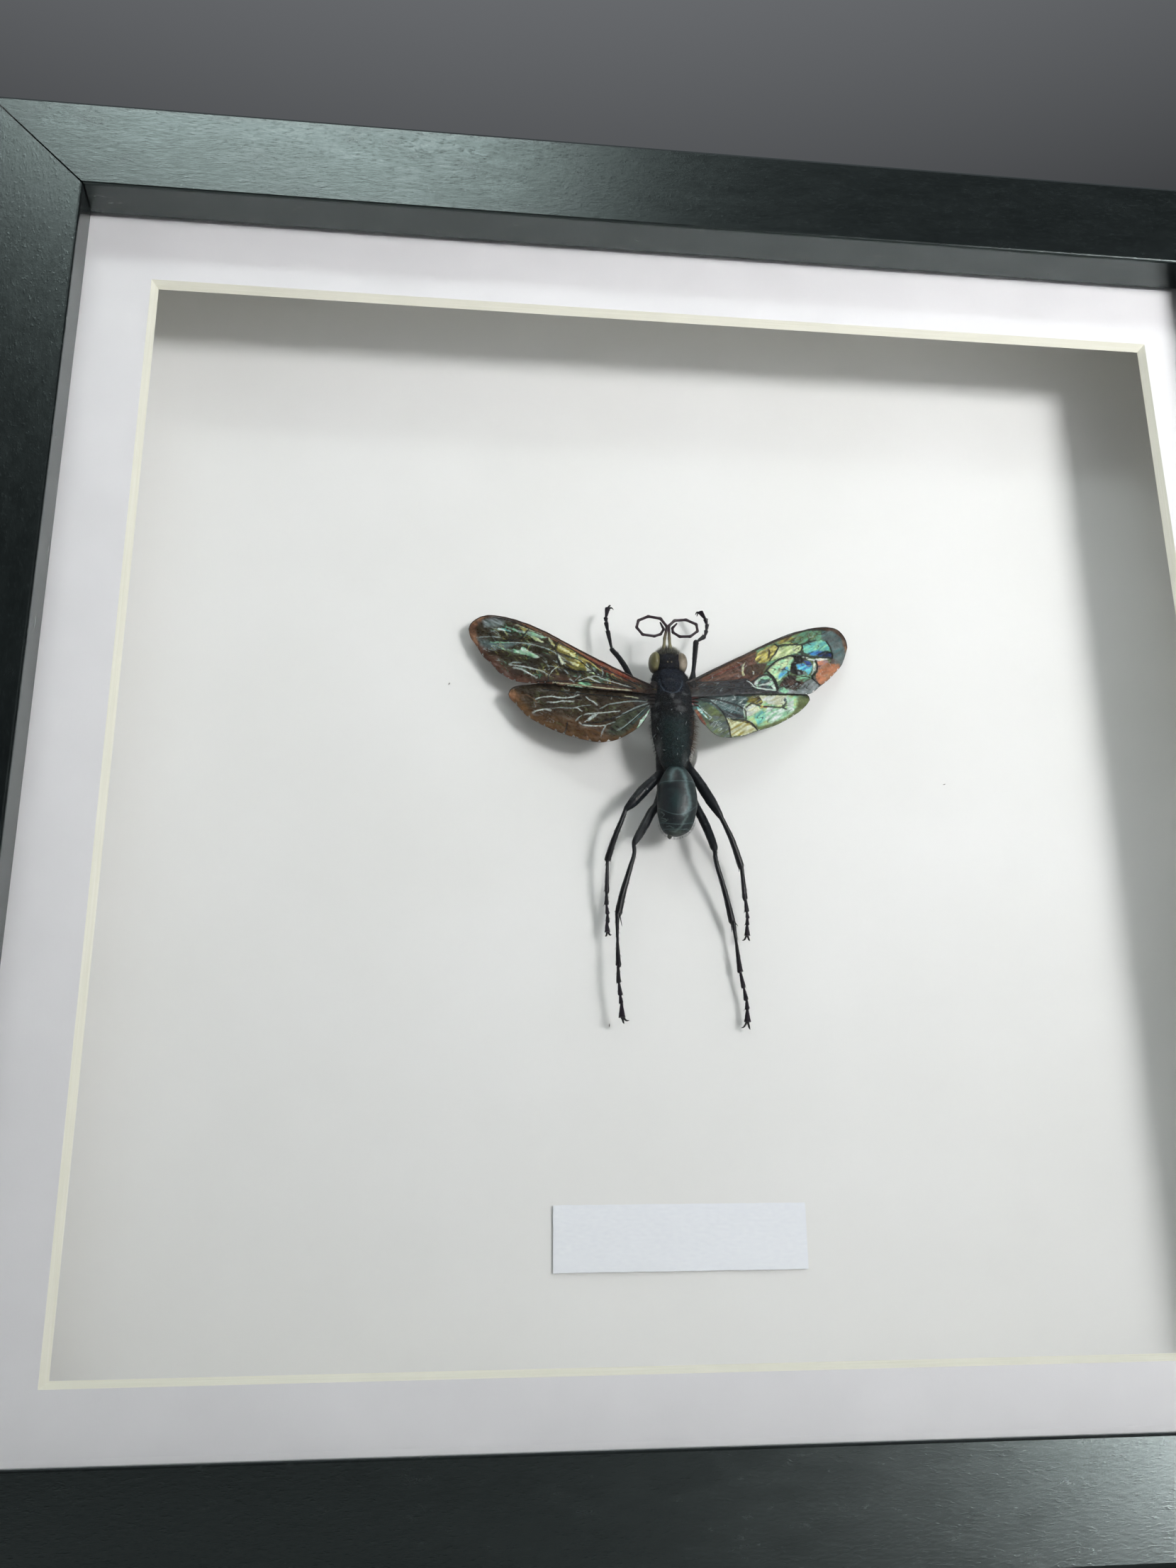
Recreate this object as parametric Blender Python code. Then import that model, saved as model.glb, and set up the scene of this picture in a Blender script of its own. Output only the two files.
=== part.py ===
"""A dried wasp in a square shadow-box frame.

The frame stands on its lower edge. +Z is up, the pane faces -Y, and the origin is the middle of
the base. Sizes are in millimetres here and become metres as the meshes are made.
"""
import math

import bmesh
import bpy
from mathutils import Vector

MM = 0.001
GAP = 0.3            # clearance between pieces that touch

# Frame
OUTER = 250.0
DEPTH = 45.0
FACE = 18.4          # width of a rail's front face
WALL = 10.0          # thickness of a rail behind the lip
LIP = 7.8            # depth of the lip that holds the pane
EDGE_OUT = 0.9       # radius of the outer front edge
EDGE_IN = 0.5        # radius of the inner front edge
FRONT = -DEPTH / 2

# Flat pieces behind the lip, from front to back
SHEET = OUTER - 2 * WALL - 2 * GAP
PANE = 1.0
MAT = 1.2
WINDOW = 190.0
WINDOW_DROP = 1.4    # the window sits this much below the middle of the frame
BOARD_BACK_OF_MAT = 19.0
BOARD = 4.7
SPACER = 5.0
PANEL = 3.0

PANE_FRONT = FRONT + LIP + GAP
MAT_FRONT = PANE_FRONT + PANE + GAP
BOARD_FRONT = MAT_FRONT + BOARD_BACK_OF_MAT
PANEL_FRONT = BOARD_FRONT + BOARD + GAP
PANEL_BACK = PANEL_FRONT + PANEL
CENTRE_Z = OUTER / 2
WINDOW_Z = CENTRE_Z - WINDOW_DROP

# Label
LABEL_SIZE = (42.2, 10.8)
LABEL_CENTRE = (0.3, -73.4)
LABEL_THICKNESS = 0.25

# Clips and hanger
CLIP_AT = (-70.0, 70.0)
CLIP_WIDTH = 12.0
CLIP_THICKNESS = 0.6
CLIP_FOOT = 11.0
CLIP_UPRIGHT = 6.0
HANGER_WIDTH = 46.0
HANGER_HEIGHT = 9.0
HANGER_TOOTH = 2.0
HANGER_DROP = 22.0   # below the panel's upper edge

# Wasp
WING_THICKNESS = 0.3
WING_STATIONS = 22
WING_STRIPS = 5
HINGE = 3.5          # the wings droop outwards from here
WING_REACH = 33.0
ARCH = 0.25
PLEAT = 0.12
PLEAT_FADE = 6.0     # the pleats reach their full depth this far out
EYES = (-3.0, 2.15)
LEG_SIDES = 8
BODY_SIDES = 18

COLOURS = {
    "black_wood": ((0.012, 0.013, 0.014, 1), 0.38, 0.0),
    "clear_acrylic": ((0.9, 0.95, 0.95, 1), 0.03, 0.0),
    "white_card": ((0.86, 0.86, 0.84, 1), 0.85, 0.0),
    "white_foam": ((0.83, 0.83, 0.81, 1), 0.8, 0.0),
    "label_paper": ((0.88, 0.9, 0.91, 1), 0.8, 0.0),
    "hardboard": ((0.28, 0.17, 0.09, 1), 0.75, 0.0),
    "bright_steel": ((0.62, 0.62, 0.63, 1), 0.3, 1.0),
    "clear_glue": ((0.85, 0.83, 0.76, 1), 0.25, 0.0),
    "wasp_shell": ((0.012, 0.022, 0.026, 1), 0.35, 0.0),
}


def clear_scene():
    for thing in list(bpy.data.objects):
        bpy.data.objects.remove(thing, do_unlink=True)


def material(name):
    made = bpy.data.materials.get(name)
    if made:
        return made
    made = bpy.data.materials.new(name)
    made.use_nodes = True
    colour, roughness, metallic = COLOURS[name]
    shader = made.node_tree.nodes["Principled BSDF"]
    shader.inputs["Base Color"].default_value = colour
    shader.inputs["Roughness"].default_value = roughness
    shader.inputs["Metallic"].default_value = metallic
    if name == "clear_acrylic":
        shader.inputs["Transmission Weight"].default_value = 1.0
    made.diffuse_color = colour
    return made


def to_object(name, bm, slot, smooth=None):
    """Turn a bmesh in millimetres into a named object in metres."""
    for vert in bm.verts:
        vert.co *= MM
    bmesh.ops.recalc_face_normals(bm, faces=bm.faces)
    mesh = bpy.data.meshes.new(name)
    bm.to_mesh(mesh)
    bm.free()
    if smooth is not None:
        mesh.shade_smooth()
        mesh.set_sharp_from_angle(angle=math.radians(smooth))
    mesh.materials.append(material(slot))
    made = bpy.data.objects.new(name, mesh)
    bpy.context.scene.collection.objects.link(made)
    return made


def loft(rings, bm=None):
    """Join rings of equally many points into one closed skin with flat ends."""
    bm = bm or bmesh.new()
    rows = [[bm.verts.new(point) for point in ring] for ring in rings]
    count = len(rows[0])
    for low, high in zip(rows, rows[1:]):
        for i in range(count):
            j = (i + 1) % count
            bm.faces.new((low[i], low[j], high[j], high[i]))
    bm.faces.new(list(reversed(rows[0])))
    bm.faces.new(rows[-1])
    return bm


def block(name, low, high, slot):
    xs, ys, zs = zip(low, high)
    ring = [(0, 0), (1, 0), (1, 1), (0, 1)]
    return to_object(name, loft([[(xs[i], ys[j], z) for i, j in ring] for z in zs]), slot)


def arc(centre, radius, start, end, steps=3):
    """Points on an arc, angles in degrees."""
    points = []
    for k in range(steps + 1):
        a = math.radians(start + (end - start) * k / steps)
        points.append((centre[0] + radius * math.cos(a), centre[1] + radius * math.sin(a)))
    return points


def smooth_path(points, count):
    """Evenly spaced points on a Catmull-Rom curve through the given ones."""
    given = [Vector(p) for p in points]
    ends = [2 * given[0] - given[1]] + given + [2 * given[-1] - given[-2]]
    fine = []
    for a, b, c, d in zip(ends, ends[1:], ends[2:], ends[3:]):
        for k in range(12):
            t = k / 12
            fine.append(0.5 * (2 * b + (c - a) * t + (2 * a - 5 * b + 4 * c - d) * t * t
                               + (3 * b - 3 * c + d - a) * t ** 3))
    fine.append(given[-1])
    run = [0.0]
    for a, b in zip(fine, fine[1:]):
        run.append(run[-1] + (b - a).length)
    out = []
    k = 0
    for n in range(count):
        want = run[-1] * n / (count - 1)
        while k < len(run) - 2 and run[k + 1] < want:
            k += 1
        share = (want - run[k]) / max(run[k + 1] - run[k], 1e-9)
        out.append(fine[k].lerp(fine[k + 1], min(share, 1)))
    return out


def make_rails():
    """Four mitred L-shaped mouldings, each swept between two 45 degree cuts."""
    outline = arc((EDGE_OUT, EDGE_OUT), EDGE_OUT, 180, 270)
    outline += arc((FACE - EDGE_IN, EDGE_IN), EDGE_IN, 270, 360)
    outline += [(FACE, LIP), (WALL, LIP), (WALL, DEPTH), (0, DEPTH)]
    half = OUTER / 2
    mitre = GAP / math.sqrt(2)
    turns = {"top": 0, "left": 90, "bottom": 180, "right": 270}
    for side, degrees in turns.items():
        c = round(math.cos(math.radians(degrees)))
        s = round(math.sin(math.radians(degrees)))
        rings = []
        for end in (-1, 1):
            ring = []
            for inward, back in outline:
                along = end * (half - inward - mitre)
                out = half - inward
                ring.append((along * c - out * s, FRONT + back, CENTRE_Z + along * s + out * c))
            rings.append(ring)
        to_object("frame_rail_" + side, loft(rings), "black_wood", smooth=35)


def make_mat():
    """A square card with a bevelled window, wider in front than behind."""
    bm = bmesh.new()
    half = SHEET / 2
    loops = [(half, CENTRE_Z, MAT_FRONT), (WINDOW / 2, WINDOW_Z, MAT_FRONT),
             (WINDOW / 2 - MAT, WINDOW_Z, MAT_FRONT + MAT), (half, CENTRE_Z, MAT_FRONT + MAT)]
    corners = [(-1, -1), (1, -1), (1, 1), (-1, 1)]
    rows = [[bm.verts.new((sx * r, y, z + sz * r)) for sx, sz in corners] for r, z, y in loops]
    for a, b in zip(rows, rows[1:] + rows[:1]):
        for i in range(4):
            j = (i + 1) % 4
            bm.faces.new((a[i], a[j], b[j], b[i]))
    to_object("mat", bm, "white_card")


def make_sheets():
    half = SHEET / 2
    low = CENTRE_Z - half
    high = CENTRE_Z + half
    block("glazing", (-half, PANE_FRONT, low), (half, PANE_FRONT + PANE, high), "clear_acrylic")
    block("mount_board", (-half, BOARD_FRONT, low), (half, BOARD_FRONT + BOARD, high), "white_foam")
    block("back_panel", (-half, PANEL_FRONT, low), (half, PANEL_BACK, high), "hardboard")
    front = MAT_FRONT + MAT + GAP
    back = BOARD_FRONT - GAP
    for side, sign in (("bottom", -1), ("top", 1)):
        z = sorted((CENTRE_Z + sign * half, CENTRE_Z + sign * (half - SPACER)))
        block("spacer_" + side, (-half, front, z[0]), (half, back, z[1]), "white_card")
    for side, sign in (("left", -1), ("right", 1)):
        x = sorted((sign * half, sign * (half - SPACER)))
        block("spacer_" + side, (x[0], front, low + SPACER + GAP), (x[1], back, high - SPACER - GAP),
              "white_card")


def make_label():
    cx, cz = LABEL_CENTRE[0], WINDOW_Z + LABEL_CENTRE[1]
    w, h = LABEL_SIZE[0] / 2, LABEL_SIZE[1] / 2
    back = BOARD_FRONT - GAP
    block("label", (cx - w, back - LABEL_THICKNESS, cz - h), (cx + w, back, cz + h), "label_paper")


def make_clips():
    """Bent steel clips in the recess, one leg on the panel and one up the rail's wall."""
    number = 0
    reach = OUTER / 2 - WALL - GAP
    y0 = PANEL_BACK + GAP
    t = CLIP_THICKNESS
    outline = [(0, 0), (0, CLIP_UPRIGHT), (t, CLIP_UPRIGHT), (t, t + 0.5), (t + 0.5, t),
               (CLIP_FOOT, t), (CLIP_FOOT, 0)]
    for degrees in (0, 90, 180, 270):
        c = round(math.cos(math.radians(degrees)))
        s = round(math.sin(math.radians(degrees)))
        for along in CLIP_AT:
            number += 1
            rings = []
            for side in (-1, 1):
                a = along + side * CLIP_WIDTH / 2
                rings.append([(a * c - (reach - inward) * s, y0 + up,
                               CENTRE_Z + a * s + (reach - inward) * c) for inward, up in outline])
            to_object("clip_%d" % number, loft(rings), "bright_steel")


def make_hanger():
    """A pressed strip with two feet, raised in the middle, its lower edge cut into teeth."""
    half = HANGER_WIDTH / 2
    top = CENTRE_Z + SHEET / 2 - HANGER_DROP
    bottom = top - HANGER_HEIGHT
    rise = 2.5
    foot = 8.0
    slope = 2.0
    stations = [(-half, 0, bottom), (-half + foot, 0, bottom), (-half + foot + slope, rise, bottom)]
    span = half - foot - slope - 1.0
    teeth = 12
    for k in range(2 * teeth + 1):
        x = -span + 2 * span * k / (2 * teeth)
        stations.append((x, rise, bottom + (HANGER_TOOTH if k % 2 else 0)))
    stations += [(-x, y, z) for x, y, z in reversed(stations[:3])]
    y0 = PANEL_BACK + GAP
    rings = [[(x, y0 + y, z), (x, y0 + y + CLIP_THICKNESS, z), (x, y0 + y + CLIP_THICKNESS, top),
              (x, y0 + y, top)] for x, y, z in stations]
    to_object("hanger", loft(rings), "bright_steel")


def place(x, z, height):
    """A point of the specimen: across and up from the window's centre, and off the board."""
    return Vector((x, BOARD_FRONT - height, WINDOW_Z + z))


def tube(points, radii, sides=LEG_SIDES, flat=1.0):
    """A limb along a path of (across, up, height) points with one radius at each."""
    path = [place(*p) for p in points]
    rings = []
    across = Vector((0, 1, 0))
    for i, here in enumerate(path):
        back = (here - path[i - 1]).normalized() if i else None
        on = (path[i + 1] - here).normalized() if i < len(path) - 1 else None
        run = ((back or on) + (on or back)).normalized()
        u = (across - across.dot(run) * run).normalized()
        v = run.cross(u)
        ring = []
        for k in range(sides):
            a = 2 * math.pi * k / sides
            ring.append(here + radii[i] * (flat * math.cos(a) * u + math.sin(a) * v))
        rings.append(ring)
    return loft(rings)


def body_loft(stations, sides=BODY_SIDES):
    """Rings across the body. A station is (up, centre across, half width, height, half depth)."""
    rings = []
    for up, across, half_width, height, half_depth in stations:
        ring = []
        for k in range(sides):
            a = 2 * math.pi * k / sides
            ring.append(place(across + half_width * math.cos(a), up, height + half_depth * math.sin(a)))
        rings.append(ring)
    return loft(rings)


def ball(x, z, height, half_x, half_z, half_depth, segments=14, rings=9):
    bm = bmesh.new()
    bmesh.ops.create_uvsphere(bm, u_segments=segments, v_segments=rings, radius=1.0)
    for vert in bm.verts:
        vert.co = place(x, z, height) + Vector((vert.co.x * half_x, vert.co.y * half_depth,
                                                vert.co.z * half_z))
    return bm


# Up, centre across, half width, height off the board, half depth
THORAX = [
    (25.6, -0.3, 1.9, 7.5, 1.6), (25.1, -0.25, 2.7, 7.5, 2.3), (24.3, -0.15, 3.2, 7.5, 2.8),
    (23.3, 0.05, 3.5, 7.5, 3.1), (22.4, 0.15, 3.6, 7.5, 3.2), (21.8, 0.2, 3.7, 7.5, 3.5),
    (20.0, 0.2, 3.85, 7.5, 3.7), (17.6, 0.2, 3.9, 7.4, 3.7), (16.4, 0.25, 3.9, 7.3, 3.4),
    (15.3, 0.25, 3.88, 7.2, 3.35), (13.0, 0.2, 3.75, 7.1, 3.2), (10.5, 0.2, 3.35, 6.9, 2.9),
    (8.4, 0.3, 2.9, 6.8, 2.5), (7.2, 0.35, 2.3, 6.8, 1.9), (6.4, 0.4, 1.2, 6.8, 1.1)]
ABDOMEN = [
    (7.3, 0.6, 0.9, 7.1, 0.9), (6.6, 0.6, 1.7, 7.15, 1.6), (5.6, 0.65, 2.4, 7.2, 2.2),
    (4.4, 0.68, 3.0, 7.15, 2.65), (3.5, 0.7, 3.35, 7.1, 2.85), (3.2, 0.7, 3.3, 7.1, 2.8),
    (1.8, 0.73, 3.62, 7.0, 3.0), (0.2, 0.72, 3.68, 6.9, 3.05), (-1.5, 0.63, 3.6, 6.8, 2.95),
    (-2.4, 0.58, 3.48, 6.75, 2.8), (-2.7, 0.56, 3.36, 6.75, 2.7), (-3.7, 0.5, 3.12, 6.7, 2.5),
    (-4.6, 0.45, 2.72, 6.6, 2.2), (-5.2, 0.38, 2.2, 6.55, 1.8), (-5.6, 0.32, 1.6, 6.5, 1.35),
    (-5.9, 0.25, 0.9, 6.5, 0.8)]

# Leading and trailing edges from base to tip, across and up, outwards positive
WINGS = {
    "fore_left": dict(
        side=-1, base=9.7, droop=0.22,
        lead=[(2.6, 21.4), (4.2, 21.9), (7.4, 23.7), (12.0, 26.5), (17.6, 30.1), (23.0, 33.7),
              (27.9, 36.2), (31.7, 37.4), (33.8, 37.4), (35.1, 36.8), (36.0, 35.9), (36.3, 34.9)],
        trail=[(2.6, 20.2), (4.2, 20.1), (7.9, 20.7), (11.8, 21.2), (17.6, 22.2), (21.9, 23.0),
               (27.3, 23.8), (30.4, 25.6), (32.2, 27.8), (33.7, 29.4), (34.8, 31.4), (35.9, 33.2),
               (36.3, 34.9)]),
    "fore_right": dict(
        side=1, base=9.7, droop=0.26,
        lead=[(2.6, 22.4), (4.1, 23.2), (8.2, 25.9), (14.4, 29.8), (21.1, 33.9), (26.5, 36.7),
              (30.0, 37.9), (31.9, 38.1), (33.3, 37.8), (34.3, 36.8), (34.8, 35.6), (34.9, 34.4)],
        trail=[(2.6, 19.8), (4.1, 19.8), (9.1, 20.7), (16.5, 22.2), (22.2, 23.0), (26.4, 23.6),
               (28.7, 25.5), (30.6, 27.2), (32.2, 29.0), (33.4, 30.5), (34.1, 32.0), (34.9, 34.4)]),
    "hind_left": dict(
        side=-1, base=8.9, droop=0.215,
        lead=[(2.6, 19.6), (4.1, 20.3), (7.9, 21.3), (11.8, 22.0), (17.6, 23.0), (21.9, 23.5),
              (25.3, 23.3), (27.6, 23.2), (28.6, 22.6), (29.0, 21.7)],
        trail=[(2.6, 17.8), (3.9, 17.6), (4.5, 16.2), (5.4, 14.7), (6.6, 13.6), (8.4, 12.5),
               (9.9, 11.8), (11.5, 11.5), (13.4, 11.5), (16.6, 12.4), (19.7, 13.6), (22.7, 15.2),
               (25.5, 17.1), (27.5, 19.5), (28.7, 20.9), (29.0, 21.7)]),
    "hind_right": dict(
        side=1, base=8.9, droop=0.25,
        lead=[(2.6, 19.2), (4.2, 19.9), (9.1, 21.4), (16.5, 22.9), (21.5, 23.6), (25.4, 23.7),
              (26.4, 23.4), (26.6, 22.6)],
        trail=[(2.6, 17.6), (4.1, 17.3), (5.1, 15.6), (6.3, 14.5), (7.4, 13.5), (8.9, 12.9),
               (10.7, 13.0), (13.0, 13.6), (15.8, 14.9), (19.0, 16.3), (21.5, 17.8), (24.2, 19.8),
               (25.8, 21.4), (26.6, 22.6)]),
}

# Each leg has a path from hip to foot as (across, up, height), then its radii, the number of
# path points as far as the end of the shin, and the tips of its claws and spurs
LEGS = {
    "front_left": (
        [(-1.2, 21.5, 4.4), (-2.6, 21.8, 3.9), (-5.3, 22.9, 4.7), (-6.85, 25.1, 5.1), (-7.95, 27.2, 5.3),
         (-9.1, 29.0, 5.4), (-10.3, 30.6, 5.2), (-10.4, 31.1, 5.1), (-10.95, 34.3, 4.9),
         (-11.0, 34.6, 4.9), (-11.25, 36.1, 4.8), (-11.25, 36.4, 4.8), (-11.3, 37.2, 4.7),
         (-11.25, 37.5, 4.7), (-10.95, 39.3, 4.5)],
        [0.9, 0.8, 0.65, 0.42, 0.42, 0.38, 0.35, 0.18, 0.26, 0.17, 0.27, 0.17, 0.26, 0.17, 0.3],
        6, [(-9.8, 39.2, 4.3), (-10.3, 39.95, 4.3)], []),
    "front_right": (
        [(1.4, 21.6, 4.4), (2.6, 22.6, 3.9), (4.1, 24.4, 4.6), (4.5, 25.6, 5.0), (4.65, 26.8, 5.1),
         (4.8, 28.0, 5.2), (5.05, 30.4, 5.3), (5.3, 32.6, 5.3), (5.65, 33.0, 5.2), (6.85, 34.0, 5.0),
         (7.1, 34.3, 5.0), (7.35, 35.25, 4.9), (7.4, 35.5, 4.9), (7.55, 36.5, 4.8), (7.5, 36.75, 4.8),
         (7.35, 37.7, 4.7), (7.2, 38.0, 4.7), (6.5, 39.3, 4.5)],
        [0.9, 0.8, 0.6, 0.5, 0.3, 0.3, 0.38, 0.43, 0.18, 0.27, 0.17, 0.25, 0.17, 0.25, 0.17, 0.27,
         0.2, 0.3],
        7, [(5.5, 38.8, 4.3), (5.8, 38.45, 4.3)], []),
    "middle_left": (
        [(-1.2, 13.0, 4.6), (-1.7, 10.2, 4.2), (-1.9, 6.9, 4.9), (-2.5, 5.75, 5.5), (-5.45, 2.5, 6.3),
         (-7.0, 0.55, 6.5), (-8.1, -0.6, 6.5), (-8.5, -1.2, 6.4), (-9.15, -2.9, 6.2),
         (-10.45, -6.2, 5.4), (-11.45, -9.4, 4.2), (-11.5, -10.1, 4.1), (-11.6, -14.9, 3.4),
         (-11.65, -15.3, 3.4), (-11.65, -17.2, 3.1), (-11.65, -17.5, 3.1), (-11.5, -18.9, 3.0),
         (-11.5, -19.2, 3.0), (-11.45, -20.3, 2.8), (-11.6, -20.6, 2.8), (-11.5, -22.2, 2.6)],
        [0.9, 0.8, 0.75, 0.8, 1.0, 0.85, 0.55, 0.36, 0.4, 0.48, 0.56, 0.21, 0.3, 0.18, 0.3, 0.18,
         0.27, 0.18, 0.27, 0.2, 0.36],
        10, [(-11.9, -22.85, 2.4), (-10.75, -22.6, 2.4)], [(-11.9, -10.6, 4.0)]),
    "middle_right": (
        [(1.5, 13.0, 4.6), (2.4, 10.2, 4.2), (3.3, 7.8, 4.9), (4.15, 6.15, 5.6), (5.6, 3.4, 6.1),
         (6.95, 0.85, 6.4), (8.15, -1.3, 6.5), (8.65, -2.2, 6.4), (9.5, -3.75, 6.0),
         (10.65, -6.15, 5.4), (12.1, -10.2, 4.4), (12.3, -10.9, 4.3), (12.8, -15.8, 3.4),
         (12.9, -16.2, 3.4), (13.1, -18.1, 3.1), (13.1, -18.4, 3.1), (13.2, -19.3, 2.9),
         (13.15, -19.5, 2.9), (13.15, -20.5, 2.7), (13.1, -20.8, 2.7), (13.1, -22.5, 2.5)],
        [0.9, 0.8, 0.75, 0.8, 0.9, 0.88, 0.6, 0.4, 0.42, 0.5, 0.58, 0.24, 0.33, 0.2, 0.3, 0.18,
         0.27, 0.18, 0.27, 0.2, 0.38],
        10, [(12.2, -23.3, 2.3), (13.6, -23.35, 2.3)], [(11.75, -11.35, 4.2)]),
    "hind_left": (
        [(-1.0, 9.4, 4.4), (-1.5, 6.4, 4.0), (-1.8, 3.4, 4.2), (-2.6, 0.7, 4.8), (-3.7, -0.9, 5.0),
         (-4.85, -3.15, 5.3), (-6.0, -5.3, 5.8), (-6.75, -6.6, 6.0), (-7.0, -7.4, 5.8),
         (-6.95, -8.8, 5.6), (-7.9, -12.1, 5.2), (-8.95, -15.7, 4.8), (-9.7, -19.1, 4.2),
         (-9.9, -19.8, 4.2), (-9.95, -24.0, 4.2), (-9.85, -28.3, 4.2), (-9.9, -28.7, 4.2),
         (-9.85, -31.3, 4.2), (-9.8, -31.7, 4.2), (-9.6, -33.5, 4.1), (-9.6, -33.8, 4.1),
         (-9.45, -35.0, 4.0), (-9.4, -35.3, 4.0), (-9.35, -37.5, 3.9)],
        [0.9, 0.8, 0.7, 0.7, 0.76, 0.78, 0.7, 0.55, 0.34, 0.32, 0.44, 0.56, 0.62, 0.28, 0.21, 0.35,
         0.2, 0.31, 0.19, 0.31, 0.19, 0.3, 0.22, 0.42],
        12, [(-8.1, -37.95, 3.7), (-8.95, -38.5, 3.7)], [(-9.1, -21.5, 4.0)]),
    "hind_right": (
        [(1.6, 9.4, 4.4), (2.4, 6.4, 4.0), (3.4, 3.4, 4.2), (4.55, 0.2, 4.8), (5.55, -2.2, 5.2),
         (6.45, -4.9, 5.7), (7.15, -7.4, 6.0), (7.35, -8.2, 5.7), (7.55, -9.7, 5.2),
         (8.75, -13.5, 4.2), (9.6, -16.5, 3.5), (10.4, -19.8, 2.8), (10.7, -20.4, 2.7),
         (11.1, -23.7, 2.5), (11.6, -28.7, 2.2), (11.7, -29.1, 2.2), (12.1, -31.5, 2.1),
         (12.2, -31.9, 2.1), (12.5, -33.7, 2.0), (12.6, -34.0, 2.0), (12.65, -35.4, 1.9),
         (12.65, -35.7, 1.9), (12.65, -37.7, 1.8)],
        [0.9, 0.8, 0.7, 0.7, 0.75, 0.72, 0.65, 0.36, 0.38, 0.42, 0.47, 0.58, 0.28, 0.22, 0.36,
         0.2, 0.31, 0.19, 0.31, 0.19, 0.3, 0.22, 0.42],
        11, [(11.5, -38.7, 1.6), (13.1, -38.95, 1.6)], [(10.35, -21.9, 2.6), (11.5, -20.8, 2.6)]),
}

ANTENNAE = {
    "left": [(-1.3, 27.9, 8.2), (-1.2, 29.2, 8.4), (-1.1, 31.3, 9.3), (-0.65, 33.5, 9.6),
             (-1.8, 35.1, 9.6), (-4.05, 35.5, 9.5), (-5.85, 34.65, 9.4), (-6.2, 33.3, 9.3),
             (-5.1, 31.95, 9.2), (-2.95, 31.75, 9.1), (-1.75, 32.3, 8.9), (-1.15, 33.4, 8.7),
             (-1.75, 34.85, 8.6)],
    "right": [(-0.1, 28.2, 8.2), (0.0, 29.8, 8.4), (-0.25, 31.3, 9.3), (-0.3, 33.7, 9.6),
              (0.75, 34.8, 9.6), (2.9, 35.1, 9.5), (4.8, 34.3, 9.4), (5.0, 33.0, 9.3),
              (3.65, 31.9, 9.2), (1.7, 31.85, 9.1), (0.5, 32.75, 8.9), (0.45, 33.7, 8.7),
              (1.35, 34.75, 8.6)],
}


def wing(side, base, droop, lead, trail):
    """A thin sheet between its two edges, drooping outwards, arched and pleated along its length."""
    front = smooth_path([(x, z, 0) for x, z in lead], WING_STATIONS)
    rear = smooth_path([(x, z, 0) for x, z in trail], WING_STATIONS)
    rows = []
    for i in range(WING_STATIONS - 1):
        row = []
        for j in range(WING_STRIPS + 1):
            flat = front[i].lerp(rear[i], j / WING_STRIPS)
            out = max(0.0, flat.x - HINGE)
            fold = PLEAT * (1 if j % 2 else -1) * min(1.0, out / PLEAT_FADE)
            rise = ARCH * math.sin(math.pi * min(out / WING_REACH, 1))
            row.append((side * flat.x, flat.y, base - droop * out + rise + fold))
        rows.append(row)
    tip = (side * front[-1].x, front[-1].y, base - droop * (front[-1].x - HINGE))
    bm = bmesh.new()
    rims = []
    for lift in (WING_THICKNESS / 2, -WING_THICKNESS / 2):
        skin = [[bm.verts.new(place(x, z, h + lift)) for x, z, h in row] for row in rows]
        point = bm.verts.new(place(tip[0], tip[1], tip[2] + lift))
        for a, b in zip(skin, skin[1:]):
            for j in range(WING_STRIPS):
                bm.faces.new((a[j], a[j + 1], b[j + 1], b[j]))
        for j in range(WING_STRIPS):
            bm.faces.new((skin[-1][j], skin[-1][j + 1], point))
        rim = [row[0] for row in skin] + [point] + [row[-1] for row in reversed(skin)]
        rims.append(rim + list(reversed(skin[0][1:-1])))
    upper, lower = rims
    for i in range(len(upper)):
        j = (i + 1) % len(upper)
        bm.faces.new((upper[i], upper[j], lower[j], lower[i]))
    return bm


def claws(points, tips):
    """Hooks from the end of a foot to the given tips, each bent up in the middle."""
    end = Vector(points[-1])
    made = []
    for tip in tips:
        tip = Vector(tip)
        run = end - Vector(points[-2])
        middle = end.lerp(tip, 0.55) + 0.25 * run.normalized() + Vector((0, 0, 0.15))
        path = [tuple(end - 0.1 * run), tuple(middle), tuple(tip)]
        made.append(tube(path, [0.18, 0.13, 0.05], sides=5))
    return made


def spurs(points, shin, tips):
    """Straight spines from the end of a shin to the given tips."""
    end = Vector(points[shin])
    made = []
    for tip in tips:
        aside = 0.35 * (Vector(tip) - end).normalized()
        start = end.lerp(Vector(points[shin - 1]), 0.08) + aside
        made.append(tube([tuple(start), tip], [0.17, 0.05], sides=5))
    return made


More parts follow.
